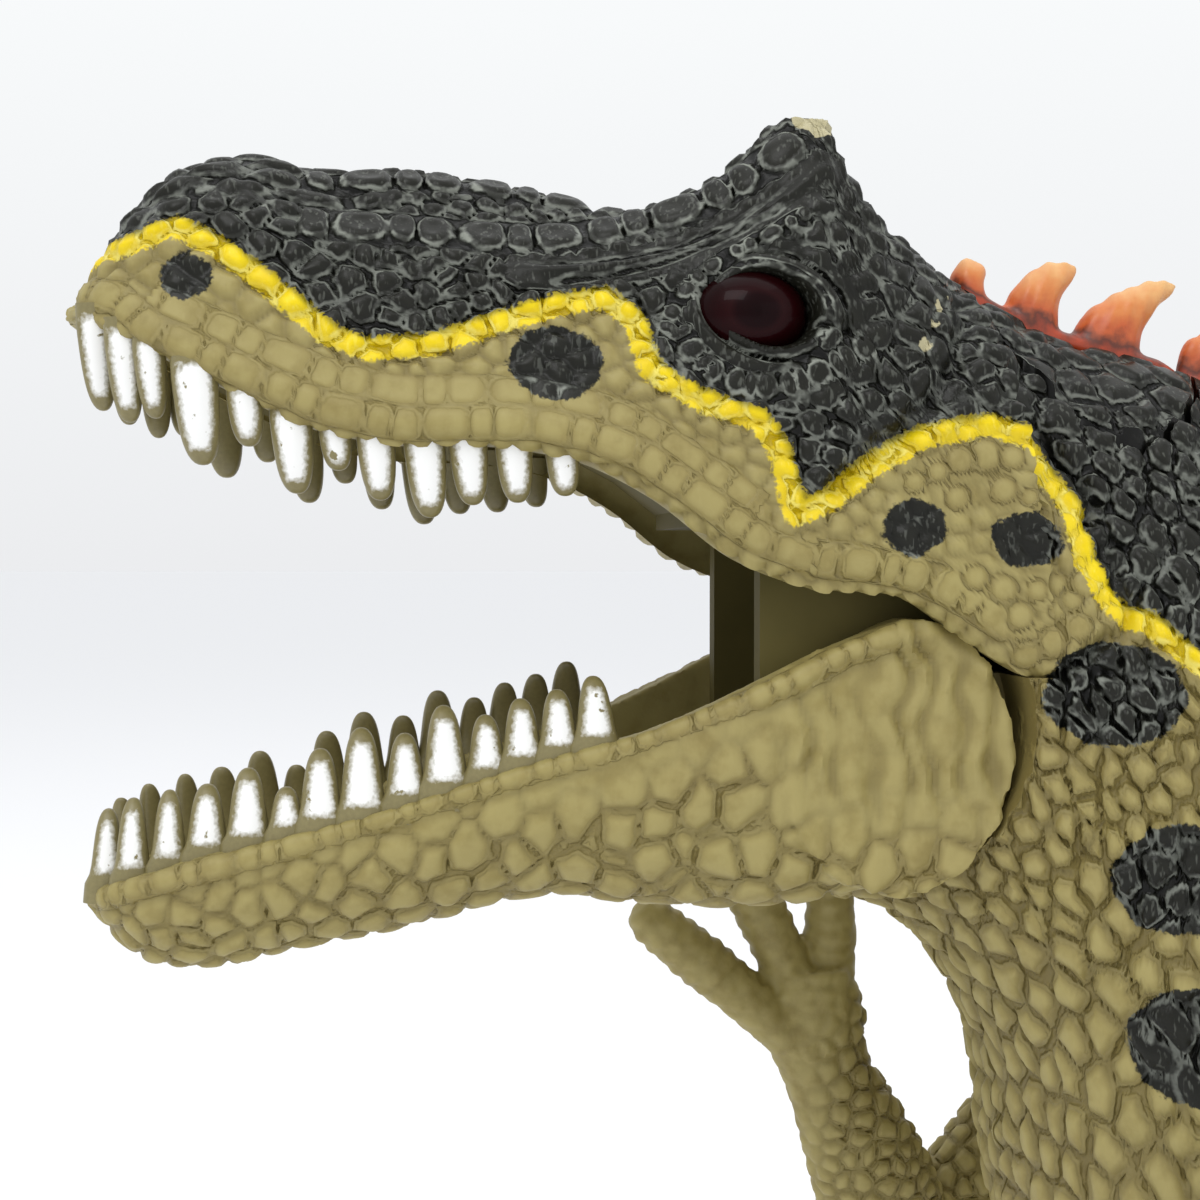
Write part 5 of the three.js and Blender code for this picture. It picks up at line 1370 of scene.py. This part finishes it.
BUTTON_FRONT, BUTTON_BACK = -0.5645 * BODY_LENGTH, -0.437 * BODY_LENGTH
BUTTON_HALF, BUTTON_THICKNESS = 10.6, 3
CREST_HALF, CREST_SINK = 1.5, 1.6
CREST_FRONT, CREST_BACK = BUTTON_BACK + RUNNING_GAP, TAIL_ROOT_X - SEAT_GAP
BOSS_DEPTH = 6
SHOULDER_BOSS, SHOULDER_PEG, HIP_BOSS, HIP_PEG, TAIL_PEG = 6, 2.8, 11, 4.2, 5
SCREW_HEAD, SCREW_SHANK, SCREW_BOSS, SCREW_HEAD_DEPTH = 2.4, 1.2, 3.6, 1.6
FRAME_BACK = HINGE_X + 3.3 + SEAT_GAP + 1.4
SCREWS = [(-0.47, 0.3), (-0.3, -0.27), (-0.27, 0.22), (-0.1, -0.26), (0.13, 0.16), (0.24, -0.06)]


def oval_prism(grow):
    turn = full_turn(96)
    middle, half = (BUTTON_FRONT + BUTTON_BACK) / 2, (BUTTON_BACK - BUTTON_FRONT) / 2 + grow
    ring = np.stack([middle + half * np.cos(turn), (BUTTON_HALF + grow) * np.sin(turn)], axis=1)
    base = HIP_HEIGHT + BODY_HEIGHT * 0.33
    return loft("oval", [np.insert(ring, 2, height, axis=1) for height in (base, base + BODY_HEIGHT)])


def head_bay():
    high, low = SEAM_TOP[1] + 12, HINGE_Z - DISC_RADIUS * 0.8
    back, front = FRAME_BACK + RUNNING_GAP, head_x(1)
    corners = [
        (front, low), (HINGE_X + 3, low), (back, HINGE_Z - DISC_RADIUS * 0.5), (back, SEAM_LOW[1] - 0.6),
        (seam_x(SEAM_LOW[1] - SEAT_GAP), SEAM_LOW[1] - 0.6), (seam_x(high), high), (front, high),
    ]
    return side_slab(corners, -BODY_WIDTH, BODY_WIDTH)


def crest_groove():
    line = np.linspace(CREST_FRONT - SEAT_GAP, TAIL_ROOT_X + SEAT_GAP, 40)
    low = back_z(np.minimum(line, TAIL_ROOT_X)) - CREST_SINK - SEAT_GAP
    high = HIP_HEIGHT + BODY_HEIGHT
    outline = [*zip(line, low), (line[-1], high), (line[0], high)]
    return side_slab(outline, -CREST_HALF - SEAT_GAP, CREST_HALF + SEAT_GAP)


def bar_x(radius, z, x_from, x_to, sides=48):
    turn = full_turn(sides)
    y, up = radius * np.cos(turn), z + radius * np.sin(turn)
    return loft("rod", [np.stack([np.full(sides, x), y, up], axis=1) for x in (x_from, x_to)])


def cut_all(target, cutters):
    for cutter in cutters:
        boolean(target, cutter, "DIFFERENCE")
    return target


def mirrored_bars(radius, x, z, near, far):
    return [bar(radius, x, z, *sorted((side * near, side * far))) for side in (-1, 1)]


def disc_room(grow, inner):
    outline = disc_outline(JAW_CLOSING, grow)
    return [side_slab(outline, *sorted((side * inner, side * BODY_WIDTH))) for side in (-1, 1)]


body = copy_of(trunk, "body")
rows = np.arange(len(TRUNK), dtype=float)
hollow = trunk_rings(rows, 40, SHELL_WALL)
mouth = hollow[0] - [OVERRUN, 0, 0]
hollow = loft("hollow", np.vstack([mouth[None], hollow]))
root_wall = block(TAIL_ROOT_X - TAIL_END_WALL, TAIL_ROOT_X + OVERRUN, -BODY_WIDTH, BODY_WIDTH, 0, 190)
cut_all(hollow, [root_wall])
cut_all(hollow, disc_room(RUNNING_GAP + SHELL_WALL, YOKE_OUTER - SHELL_WALL))
boolean(body, hollow, "DIFFERENCE")
cut_all(body, disc_room(RUNNING_GAP, YOKE_OUTER))
for face, boss, peg, x, z in (
    (SHOULDER_FACE, SHOULDER_BOSS, SHOULDER_PEG, SHOULDER_X, SHOULDER_Z),
    (HIP_FACE, HIP_BOSS, HIP_PEG, 0, HIP_HEIGHT),
):
    cut_all(body, mirrored_bars(peg * 1.8 + SEAT_GAP, x, z, 0, face - BOSS_DEPTH))
    union([body, *mirrored_bars(boss, x, z, face - BOSS_DEPTH, face)])
    cut_all(body, [bar(peg + SEAT_GAP, x, z, -BODY_WIDTH, BODY_WIDTH)])
smooth_trunk = loft("smooth_trunk", trunk_rings(np.linspace(0, len(TRUNK) - 1, 60), 80, 0.35))
places = [(u * BODY_LENGTH, HIP_HEIGHT + v * BODY_HEIGHT) for u, v in SCREWS]
for x, z in places:
    boss = bar(SCREW_BOSS, x, z, -BODY_WIDTH, BODY_WIDTH)
    union([body, boolean(boss, smooth_trunk, "INTERSECT", keep=True)])
discard(smooth_trunk)
tail_bore = bar_x(TAIL_PEG + SEAT_GAP, TAIL_ROOT_Z, TAIL_ROOT_X - BODY_LENGTH / 4, TAIL_ROOT_X + OVERRUN)
cut_all(body, [head_bay(), crest_groove(), oval_prism(RUNNING_GAP), tail_bore])
half_gap = SEAT_GAP / 2
right = copy_of(body, "body_right")
cut_all(right, [block(-BEYOND, BEYOND, -BODY_WIDTH, half_gap, 0, BEYOND)])
left = cut_all(body, [block(-BEYOND, BEYOND, -half_gap, BODY_WIDTH, 0, BEYOND)])
left.name = "body_left"
for number, (x, z) in enumerate(places, 1):
    low, high = (np.array(corner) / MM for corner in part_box(f"body_screw_{number}"))
    seat = high[1] - SCREW_HEAD_DEPTH - SEAT_GAP
    cut_all(
        right,
        [
            bar(SCREW_HEAD + SEAT_GAP, x, z, seat, BODY_WIDTH),
            bar(SCREW_SHANK + SEAT_GAP, x, z, 0, BODY_WIDTH),
        ]
    )
    cut_all(left, [bar(SCREW_SHANK + SEAT_GAP, x, z, low[1] - SEAT_GAP, 0)])
for half, word in ((left, "left"), (right, "right")):
    paint_edges(half)
    finish(half, "figure", skin, [f"body_shell_{word}"])

# %% [markdown]
# ## The spine button and the crest
# Pressing the saddle behind the skull closes the jaw. The saddle is cut from the same skin as the body.
# Spines are orange cones that lean back, each rooted in a low ridge, and a voxel remesh rounds them as a
# mould does.

# %% Spines
BUTTON_SPINES = [(-79.0, -76.2, 3.3, -0.45), (-74.8, -70.7, 6.1, 0.0), (-69.5, -64.3, 6.6, 0.24)]
SPINE_SIDES = 24
BACK_SPINES = [7, 8, 9.5, 10.5, 11, 10.5, 9.5, 8, 6.5, 5]
# A spine in side view: height share, and length shares of its front and back edges. It leans back and its
# tip hangs over the root of the next one.
SPINE = np.array([
    (-0.3, -0.1, 1.04), (0.0, -0.06, 1.0), (0.3, 0.02, 0.98), (0.45, 0.11, 1.0), (0.62, 0.29, 1.09),
    (0.78, 0.48, 1.25), (0.88, 0.64, 1.33), (0.95, 0.76, 1.35), (1.0, 0.9, 1.24),
])


def spine(x_from, x_to, height, lean=0.0):
    rows = through(SPINE, np.linspace(0, len(SPINE) - 1, 40))
    turn = full_turn(SPINE_SIDES)
    length = x_to - x_from
    rings = []
    for up, front, back in rows:
        middle = x_from + ((front + back) / 2 + lean * max(up, 0) ** 1.5) * length
        half = (back - front) / 2 * length
        thick = 1.75 * math.sqrt(max(1 - max(up, 0) ** 3, 0.14)) * (1 - 0.15 * up)
        across = middle + half * np.cos(turn)
        z = back_z(np.clip(across, x_from, x_to)) + up * height
        rings.append(np.stack([across, thick * np.sin(turn), z], axis=1))
    return loft("spine", rings)


def spine_row(name, spines, front, back, low):
    line = np.linspace(front, back, 60)
    turn = full_turn(SPINE_SIDES)
    ridge = []
    for x in line:
        end = min(x - front, back - x)
        tall = 0.9 * math.sqrt(min(end / 1.5, 1)) + 0.1
        middle = back_z(x) + (tall - low) / 2
        ridge.append(
            np.stack(
                [np.full(SPINE_SIDES, x), CREST_HALF * np.cos(turn), middle + (tall + low) / 2 * np.sin(turn)],
                axis=1
            )
        )
    row = fused(name, [loft("ridge", ridge), *(spine(*one) for one in spines)], 0.26, smoothing=3)
    P = points_of(row)
    heights_here = np.interp(P[:, 0], [(one[0] + one[1]) / 2 for one in spines], [one[2] for one in spines])
    ribs = np.sin(2 * math.pi * (P[:, 0] - 0.3 * (P[:, 2] - back_z(P[:, 0]))) / 1.1 + 2 * wander(P, 3, 9))
    lift = smoothstep(0.5, 2.5, P[:, 2] - back_z(P[:, 0]))
    raise_skin(row, 0.06 * ribs * lift + 0.06 * wander(P, 1.6, 4) * lift)
    give(row, "up_spine", (P[:, 2] - back_z(P[:, 0])) / heights_here)
    return row


button = boolean(copy_of(trunk, "button"), oval_prism(0), "INTERSECT")
lowered = loft("lowered", trunk_rings(np.linspace(0, len(TRUNK) - 1, 60), 80) - [0, 0, BUTTON_THICKNESS])
boolean(button, lowered, "DIFFERENCE")
foot_x, foot_z = HINGE_X + 6.9, HINGE_Z + 2 + 1.2 + RUNNING_GAP
skirt_x = BUTTON_FRONT + (BUTTON_BACK - BUTTON_FRONT) * 0.3
skirt_z = float(back_z(skirt_x)) - BUTTON_THICKNESS
stem = [
    (foot_x - 1.2, foot_z + 0.6), (foot_x - 0.6, foot_z), (foot_x + 1.2, foot_z),
    (skirt_x + 2.4, skirt_z - 2.4), (skirt_x + 2.4, skirt_z + 1.5), (skirt_x - 2.4, skirt_z + 1.5),
    (foot_x - 1.2, foot_z + 4.8),
]
union([button, side_slab(stem, -1.2, 1.2)])
discard(trunk)
paint_edges(button)
finish(button, "button", skin, ["spine_button"])
button_spines = spine_row("button_spines", BUTTON_SPINES, BUTTON_FRONT + 0.3, BUTTON_BACK - 0.3, 0.8)
finish(button_spines, "button", orange)
edges = np.linspace(CREST_FRONT, CREST_BACK, len(BACK_SPINES) + 1)
back_spines = [(edges[0], edges[1], BACK_SPINES[0], -0.25), *zip(edges[1:], edges[2:], BACK_SPINES[1:])]
crest = spine_row("crest_spines", back_spines, CREST_FRONT, CREST_BACK, CREST_SINK - 0.1)
finish(crest, "figure", orange, ["back_crest"])


# %% [markdown]
# ## Limbs
# A limb is a loft of ovals along a bent line. Fingers and toes are thin lofts melted into the palm and the
# foot. The side that runs on the body stays flat, and so do the soles.


# %% Limb lofts
def limb(rows, fine=10, sides=36):
    rows = np.asarray(rows, float)
    line = through(rows, np.linspace(0, len(rows) - 1, (len(rows) - 1) * fine + 1))
    along = np.gradient(line[:, [0, 2]], axis=0)
    along /= np.linalg.norm(along, axis=1, keepdims=True)
    across = np.stack([along[:, 1], np.zeros(len(line)), -along[:, 0]], axis=1)
    turn = full_turn(sides)
    rings = line[:, None, :3] + across[:, None] * (line[:, 3:4] * np.cos(turn))[:, :, None]
    rings[:, :, 1] += line[:, 4:5] * np.sin(turn)
    return loft("limb", rings)


def scaly(thing, body, replaced, size, depth, seed, running, cuts=(), added=()):
    """Scales everywhere but on the running side, then paint, exact cuts and the hand-over."""
    P = points_of(thing)
    relief = Relief(P)
    relief.scales(size, depth, seed, shoulder=0.36)
    relief.height = np.minimum(relief.height, 0.6 * depth)
    relief.calm(1 - running)
    relief.hand_to(thing)
    cut_all(thing, cuts)
    union([thing, *added])
    paint_edges(thing)
    return finish(thing, body, skin, replaced)


# %% Arms
# Each row, as shares of the reach with the arm raised: forward, outward and up, then half depth and half
# width as shares of the thickness.
UPPER_ARM = [
    (0.14, 0.1, 0.26, 0.5, 0.3), (0.04, 0.1, 0.06, 0.78, 0.46), (-0.12, 0.08, -0.1, 0.75, 0.48),
    (-0.28, 0.05, -0.24, 0.66, 0.46), (-0.42, 0.02, -0.33, 0.58, 0.44),
]
FOREARM = [
    (-0.39, 0.02, -0.42, 0.4, 0.36), (-0.43, 0.01, -0.32, 0.66, 0.46), (-0.49, -0.04, -0.15, 0.66, 0.44),
    (-0.56, -0.08, 0.01, 0.56, 0.4), (-0.62, -0.1, 0.14, 0.46, 0.34), (-0.65, -0.11, 0.25, 0.55, 0.36),
    (-0.66, -0.12, 0.36, 0.44, 0.3),
]
FINGER_TIPS = [(-1.02, -0.16, 0.49), (-0.83, -0.12, 0.62), (-0.61, -0.1, 0.54)]
FINGER_ROOTS = [(-0.7, -0.12, 0.22), (-0.67, -0.11, 0.28), (-0.615, -0.1, 0.24)]
FINGER_RADIUS = 2.15
KNUCKLES = [(0, 1.1), (0.35, 1.02), (0.6, 1.08), (0.8, 1.0), (0.94, 0.94), (1.02, 0.7), (1.06, 0.2)]
ARM_LOWERING = math.radians(62)


def arm(side, lowering):
    base = SHOULDER_FACE + SEAT_GAP + ARM_THICKNESS * 0.46

    def rows(table, thick):
        return [
            (u * ARM_REACH, side * (base + out * ARM_REACH), v * ARM_REACH, deep * thick, wide * thick)
            for u, out, v, deep, wide in table
        ]

    face = SHOULDER_FACE + SEAT_GAP
    upper = limb(rows(UPPER_ARM, ARM_THICKNESS))
    cut_all(upper, [block(-ARM_REACH, ARM_REACH, -face, face, -15.8, 15.8)])
    parts = [upper, limb(rows(FOREARM, ARM_THICKNESS))]
    for root, tip in zip(FINGER_ROOTS, FINGER_TIPS):
        line = [(*(a + (b - a) * share for a, b in zip(root, tip)), size, size) for share, size in KNUCKLES]
        parts.append(limb(rows(line, FINGER_RADIUS), sides=24))
    peg_end = SHOULDER_FACE - BOSS_DEPTH - WASHER_THICKNESS - PEG_OVERHANG - SEAT_GAP
    parts.append(bar(ARM_THICKNESS * 0.8, 0, 0, *sorted((side * face, side * base))))
    parts.append(bar(SHOULDER_PEG, 0, 0, *sorted((side * peg_end, side * base))))
    made = fused(f"arm_{'left' if side < 0 else 'right'}_skin", parts, 0.3, smoothing=2)
    P = points_of(made)
    fingers = smoothstep(0.26, 0.34, P[:, 2] / ARM_REACH) * smoothstep(-0.56, -0.6, P[:, 0] / ARM_REACH)
    for root, tip in zip(FINGER_ROOTS, FINGER_TIPS):
        start, end = np.array(root) * ARM_REACH, np.array(tip) * ARM_REACH
        from_root, step = (P - start)[:, [0, 2]], (end - start)[[0, 2]]
        length = np.linalg.norm(step)
        along = (from_root @ step) / length
        off = np.linalg.norm(from_root - along[:, None] * step / length, axis=1)
        on = fingers * (off < 2.7)
        raise_skin(made, 0.08 * np.sin(2 * math.pi * along / 1.45) * on)
    P = points_of(made)
    mark = np.abs(np.hypot(P[:, 0] + 0.66 * ARM_REACH, P[:, 2] - 0.2 * ARM_REACH) - 0.95)
    palm = (side * P[:, 1] < base - 0.1 * ARM_REACH)
    raise_skin(made, 0.14 * (1 - smoothstep(0.12, 0.3, mark)) * palm, np.broadcast_to((0, -side, 0), P.shape))
    c, s = math.cos(lowering), math.sin(lowering)
    P = points_of(made)
    turned = np.stack([P[:, 0] * c + P[:, 2] * s, P[:, 1], -P[:, 0] * s + P[:, 2] * c], axis=1)
    turned += [SHOULDER_X, 0, SHOULDER_Z]
    made.data.vertices.foreach_set("co", ((turned + origin) * MM).ravel())
    made.data.update()
    return made


for side, word, lowering in ((-1, "left", -ARM_LOWERING), (1, "right", 0.0)):
    made = arm(side, lowering)
    P = points_of(made)
    from_joint = np.hypot(P[:, 0] - SHOULDER_X, P[:, 2] - SHOULDER_Z)
    off_face = np.abs(P[:, 1]) - SHOULDER_FACE
    running = np.where(from_joint < 14, smoothstep(0.8, 2.2, off_face), 1)
    hand = smoothstep(24, 29, from_joint)
    scaly(made, f"{word}_arm", [f"arm_{word}"], 1.5, 0.28, 41, running * (1 - 0.75 * hand))

# %% Legs
# Each row: shares of the reach forward, of the hip's height, and of the thickness deep and wide.
LEG = [
    (0.06, 1.175, 0.3, 0.16), (0.04, 1.14, 0.72, 0.3), (0.0, 1.05, 0.98, 0.42), (-0.07, 0.94, 1.0, 0.48),
    (-0.18, 0.83, 0.9, 0.48), (-0.33, 0.735, 0.72, 0.45), (-0.44, 0.65, 0.58, 0.41),
    (-0.42, 0.565, 0.5, 0.37), (-0.27, 0.475, 0.45, 0.34), (-0.09, 0.385, 0.35, 0.27),
    (0.05, 0.3, 0.27, 0.24), (0.06, 0.225, 0.26, 0.24), (-0.05, 0.15, 0.27, 0.28),
    (-0.18, 0.08, 0.31, 0.35), (-0.26, 0.03, 0.33, 0.4), (-0.28, -0.04, 0.3, 0.38),
]
TOES = [(-0.92, -0.5), (-1.08, 0.04), (-0.88, 0.54)]
TOE_RADIUS = 5
TOE_PROFILE = [
    (0, 1.1, 0.9), (0.25, 0.7, 0.95), (0.5, 0.6, 0.8), (0.68, 0.6, 0.85), (0.84, 0.45, 0.6),
    (0.98, 0.2, 0.3), (1.06, 0.08, 0.08),
]


def toe(from_x, y, to_x, to_y, radius):
    line = [
        (from_x + (to_x - from_x) * t, y + (to_y - y) * t, up * radius, size * radius, size * radius)
        for t, up, size in TOE_PROFILE
    ]
    return limb(line, sides=28)


for side, word in ((-1, "left"), (1, "right")):
    middle = side * (HIP_FACE + SEAT_GAP + 0.37 * LEG_THICKNESS)
    rows = [
        (u * LEG_REACH, middle, v * HIP_HEIGHT, deep * LEG_THICKNESS, wide * LEG_THICKNESS)
        for u, v, deep, wide in LEG
    ]
    foot_x = -0.22 * LEG_REACH
    parts = [limb(rows, sides=60)]
    parts += [
        toe(foot_x, middle, u * LEG_REACH, middle + side * out * LEG_THICKNESS, TOE_RADIUS)
        for u, out in TOES
    ]
    parts.append(toe(foot_x, middle, 0.14 * LEG_REACH, middle, TOE_RADIUS * 0.85))
    face = HIP_FACE + SEAT_GAP
    made = fused(f"leg_{word}_skin", parts, 0.5, smoothing=3)
    P = points_of(made)
    trunk_side = block(-BODY_LENGTH, BODY_LENGTH, -face, face, HIP_HEIGHT / 2, HIP_HEIGHT * 2)
    ground = block(-BODY_LENGTH, BODY_LENGTH, -BODY_LENGTH, BODY_LENGTH, -HIP_HEIGHT, 0)
    size = 2.1 + 1.2 * smoothstep(40, 80, P[:, 2])
    inside = HIP_FACE - BOSS_DEPTH - WASHER_THICKNESS - PEG_OVERHANG - SEAT_GAP
    hub = bar(HIP_BOSS, 0, HIP_HEIGHT, *sorted((side * face, middle)))
    peg = bar(HIP_PEG, 0, HIP_HEIGHT, *sorted((side * inside, middle)))
    scaly(
        made, f"{word}_leg", [f"leg_{word}"], size, 0.4, 51, np.ones(len(P)), [trunk_side, ground],
        [hub, peg]
    )

# %% [markdown]
# ## The tail
# The tail is hollow at its root, where a web carries the peg that it swings on, and solid towards the tip.

# %% Tail
# Each row: length share, rise share, and shares of the root's half height and half width.
TAIL = np.array([
    (0, 0, 1, 1), (0.12, -0.18, 0.88, 0.86), (0.3, -0.4, 0.7, 0.66), (0.5, -0.48, 0.53, 0.48),
    (0.68, -0.38, 0.38, 0.34), (0.83, -0.12, 0.24, 0.22), (0.94, 0.2, 0.12, 0.11), (1, 0.42, 0.03, 0.03),
])


def tail_rings(at, sides, wall=0.0):
    rows = through(TAIL, at)
    turn = full_turn(sides)
    high = rows[:, 2:3] * (TRUNK[-1, 1] - TRUNK[-1, 3]) / 2 * BODY_HEIGHT - wall
    wide = rows[:, 3:4] * TRUNK[-1, 4] * BODY_WIDTH / 2 - wall
    x = np.broadcast_to(TAIL_ROOT_X + SEAT_GAP + rows[:, :1] * TAIL_LENGTH, (len(rows), sides))
    z = TAIL_ROOT_Z + rows[:, 1:2] * TAIL_RISE + high * np.cos(turn)
    return np.stack([x, -wide * np.sin(turn), z], axis=2)


tail = loft("tail_skin", tail_rings(np.linspace(0, len(TAIL) - 1, 260), 150))
P = points_of(tail)
relief = Relief(P)
share = (P[:, 0] - TAIL_ROOT_X) / TAIL_LENGTH
relief.scales(
    3.0 - 1.9 * np.clip(share, 0, 1), 0.42 - 0.3 * np.clip(share, 0, 1), 61, stretched((1, 0, 0), 1.3)
)
root = smoothstep(0.004, 0.03, share)
relief.height = np.minimum(relief.height * root, 0.2)
relief.hand_to(tail)
inside = tail_rings(np.arange(5.0), 40, TAIL_WALL)
boolean(tail, loft("inside", np.vstack([(inside[0] - [OVERRUN, 0, 0])[None], inside])), "DIFFERENCE")
root_x = TAIL_ROOT_X + SEAT_GAP
peg_end = TAIL_ROOT_X - TAIL_END_WALL - WASHER_THICKNESS - PEG_OVERHANG - SEAT_GAP
web = block(root_x, root_x + 2 * TAIL_PEG, -TAIL_WALL, TAIL_WALL, TAIL_ROOT_Z - 11.5, TAIL_ROOT_Z + 11)
union([tail, web, bar_x(TAIL_PEG, TAIL_ROOT_Z, peg_end, root_x + 2 * TAIL_PEG)])
paint_edges(tail)
finish(tail, "tail_swing", skin, ["tail"])

# %% [markdown]
# ## Hardware from the CAD model
# The frame, the pin, the spring, the lever, the washers and the screws keep their CAD solids. They only get
# their materials.

# %% Materials of the hardware
HARDWARE = {
    "mouth_frame": frame_abs, "jaw_pin": steel, "jaw_spring": steel, "jaw_lever": acetal,
    "tail_washer": acetal, **{f"body_screw_{number}": steel for number in range(1, len(SCREWS) + 1)},
    **{f"{joint}_washer_{word}": acetal for joint in ("shoulder", "hip") for word in ("left", "right")}
}
for node, stuff in HARDWARE.items():
    carried = frame["nodes"][node]
    carried.data.materials.clear()
    carried.data.materials.append(stuff)
print(len(HARDWARE), "CAD pieces keep their solids")

# %% [markdown]
# ## Camera and light
# The camera stands level with the head, close on the figure's left side, so that the far row of teeth shows
# behind the near one. Wide softboxes and a pale room give the soft, nearly shadowless light of a product
# picture.

# %% Camera
LENS, SENSOR = 51.72, 36
CAMERA_AIM, CAMERA_DISTANCE = (-126.7, 0, 125.9), 127
CAMERA_TURN, CAMERA_RISE = -7, 1.2
camera_data = bpy.data.cameras.new("camera")
camera_data.lens, camera_data.sensor_width = LENS, SENSOR
camera = bpy.data.objects.new("camera", camera_data)
bpy.context.scene.collection.objects.link(camera)
azimuth, elevation = math.radians(CAMERA_TURN), math.radians(CAMERA_RISE)
level = math.cos(elevation)
back = Vector((math.sin(azimuth) * level, -math.cos(azimuth) * level, math.sin(elevation)))
camera.location = Vector(CAMERA_AIM) * MM + back * CAMERA_DISTANCE * MM
camera.rotation_euler = back.to_track_quat("Z", "Y").to_euler()
camera_data.clip_start = 0.01
bpy.context.scene.camera = camera
bpy.context.scene.view_settings.view_transform = "Standard"
print("camera at", [round(v / MM) for v in camera.location], "mm")


# %% Softboxes
def softbox(name, at, aim, size, power, colour="#FFFFFF"):
    lamp = bpy.data.lights.new(name, "AREA")
    lamp.shape = "RECTANGLE"
    lamp.size, lamp.size_y = size
    lamp.energy = power
    lamp.color = linear(colour)[:3]
    holder = bpy.data.objects.new(name, lamp)
    bpy.context.scene.collection.objects.link(holder)
    holder.location = at
    holder.rotation_euler = (Vector(at) - Vector(aim)).to_track_quat("Z", "Y").to_euler()


softbox("key", (-0.4, -0.5, 0.8), (-0.1, 0, 0.12), (0.5, 0.4), 2.8)
softbox("top", (0.05, 0.15, 1.0), (0, 0, 0.1), (1.0, 0.9), 2)
softbox("fill", (0.6, -0.8, 0.3), (0, 0, 0.1), (0.9, 0.7), 0.5)

# %% Floor and room
FLOOR_SIZE, UNDER_SOLES = 60, 0.0002
FIBRE_SIZE = 1 / 0.9
bpy.ops.mesh.primitive_plane_add(size=FLOOR_SIZE, location=(0, 0, -UNDER_SOLES))
floor = bpy.context.object
floor.name = "floor"
paper = clouded("pale_paper", FIBRE_SIZE, "#F1F1F3", "#F4F4F6", 3.0, Roughness=0.95, Specular_IOR_Level=0.1)
floor.data.materials.append(paper)
world = bpy.data.worlds.new("studio")
bpy.context.scene.world = world
world.use_nodes = True
tree = world.node_tree
around = add(tree, "TexCoord").outputs["Generated"]
height = add(tree, "SeparateXYZ", {0: around}).outputs["Z"]
share = add(tree, "MapRange", dict(zip(RANGE, (height, 0.0, 0.3))))
tone = add(tree, "Mix", {0: share, 6: linear("#ECEDEF"), 7: linear("#F8FAFB")}, data_type="RGBA")
feed(tree, tree.nodes["Background"], {"Color": tone})
print("floor of", FLOOR_SIZE, "m and a room that brightens upwards")
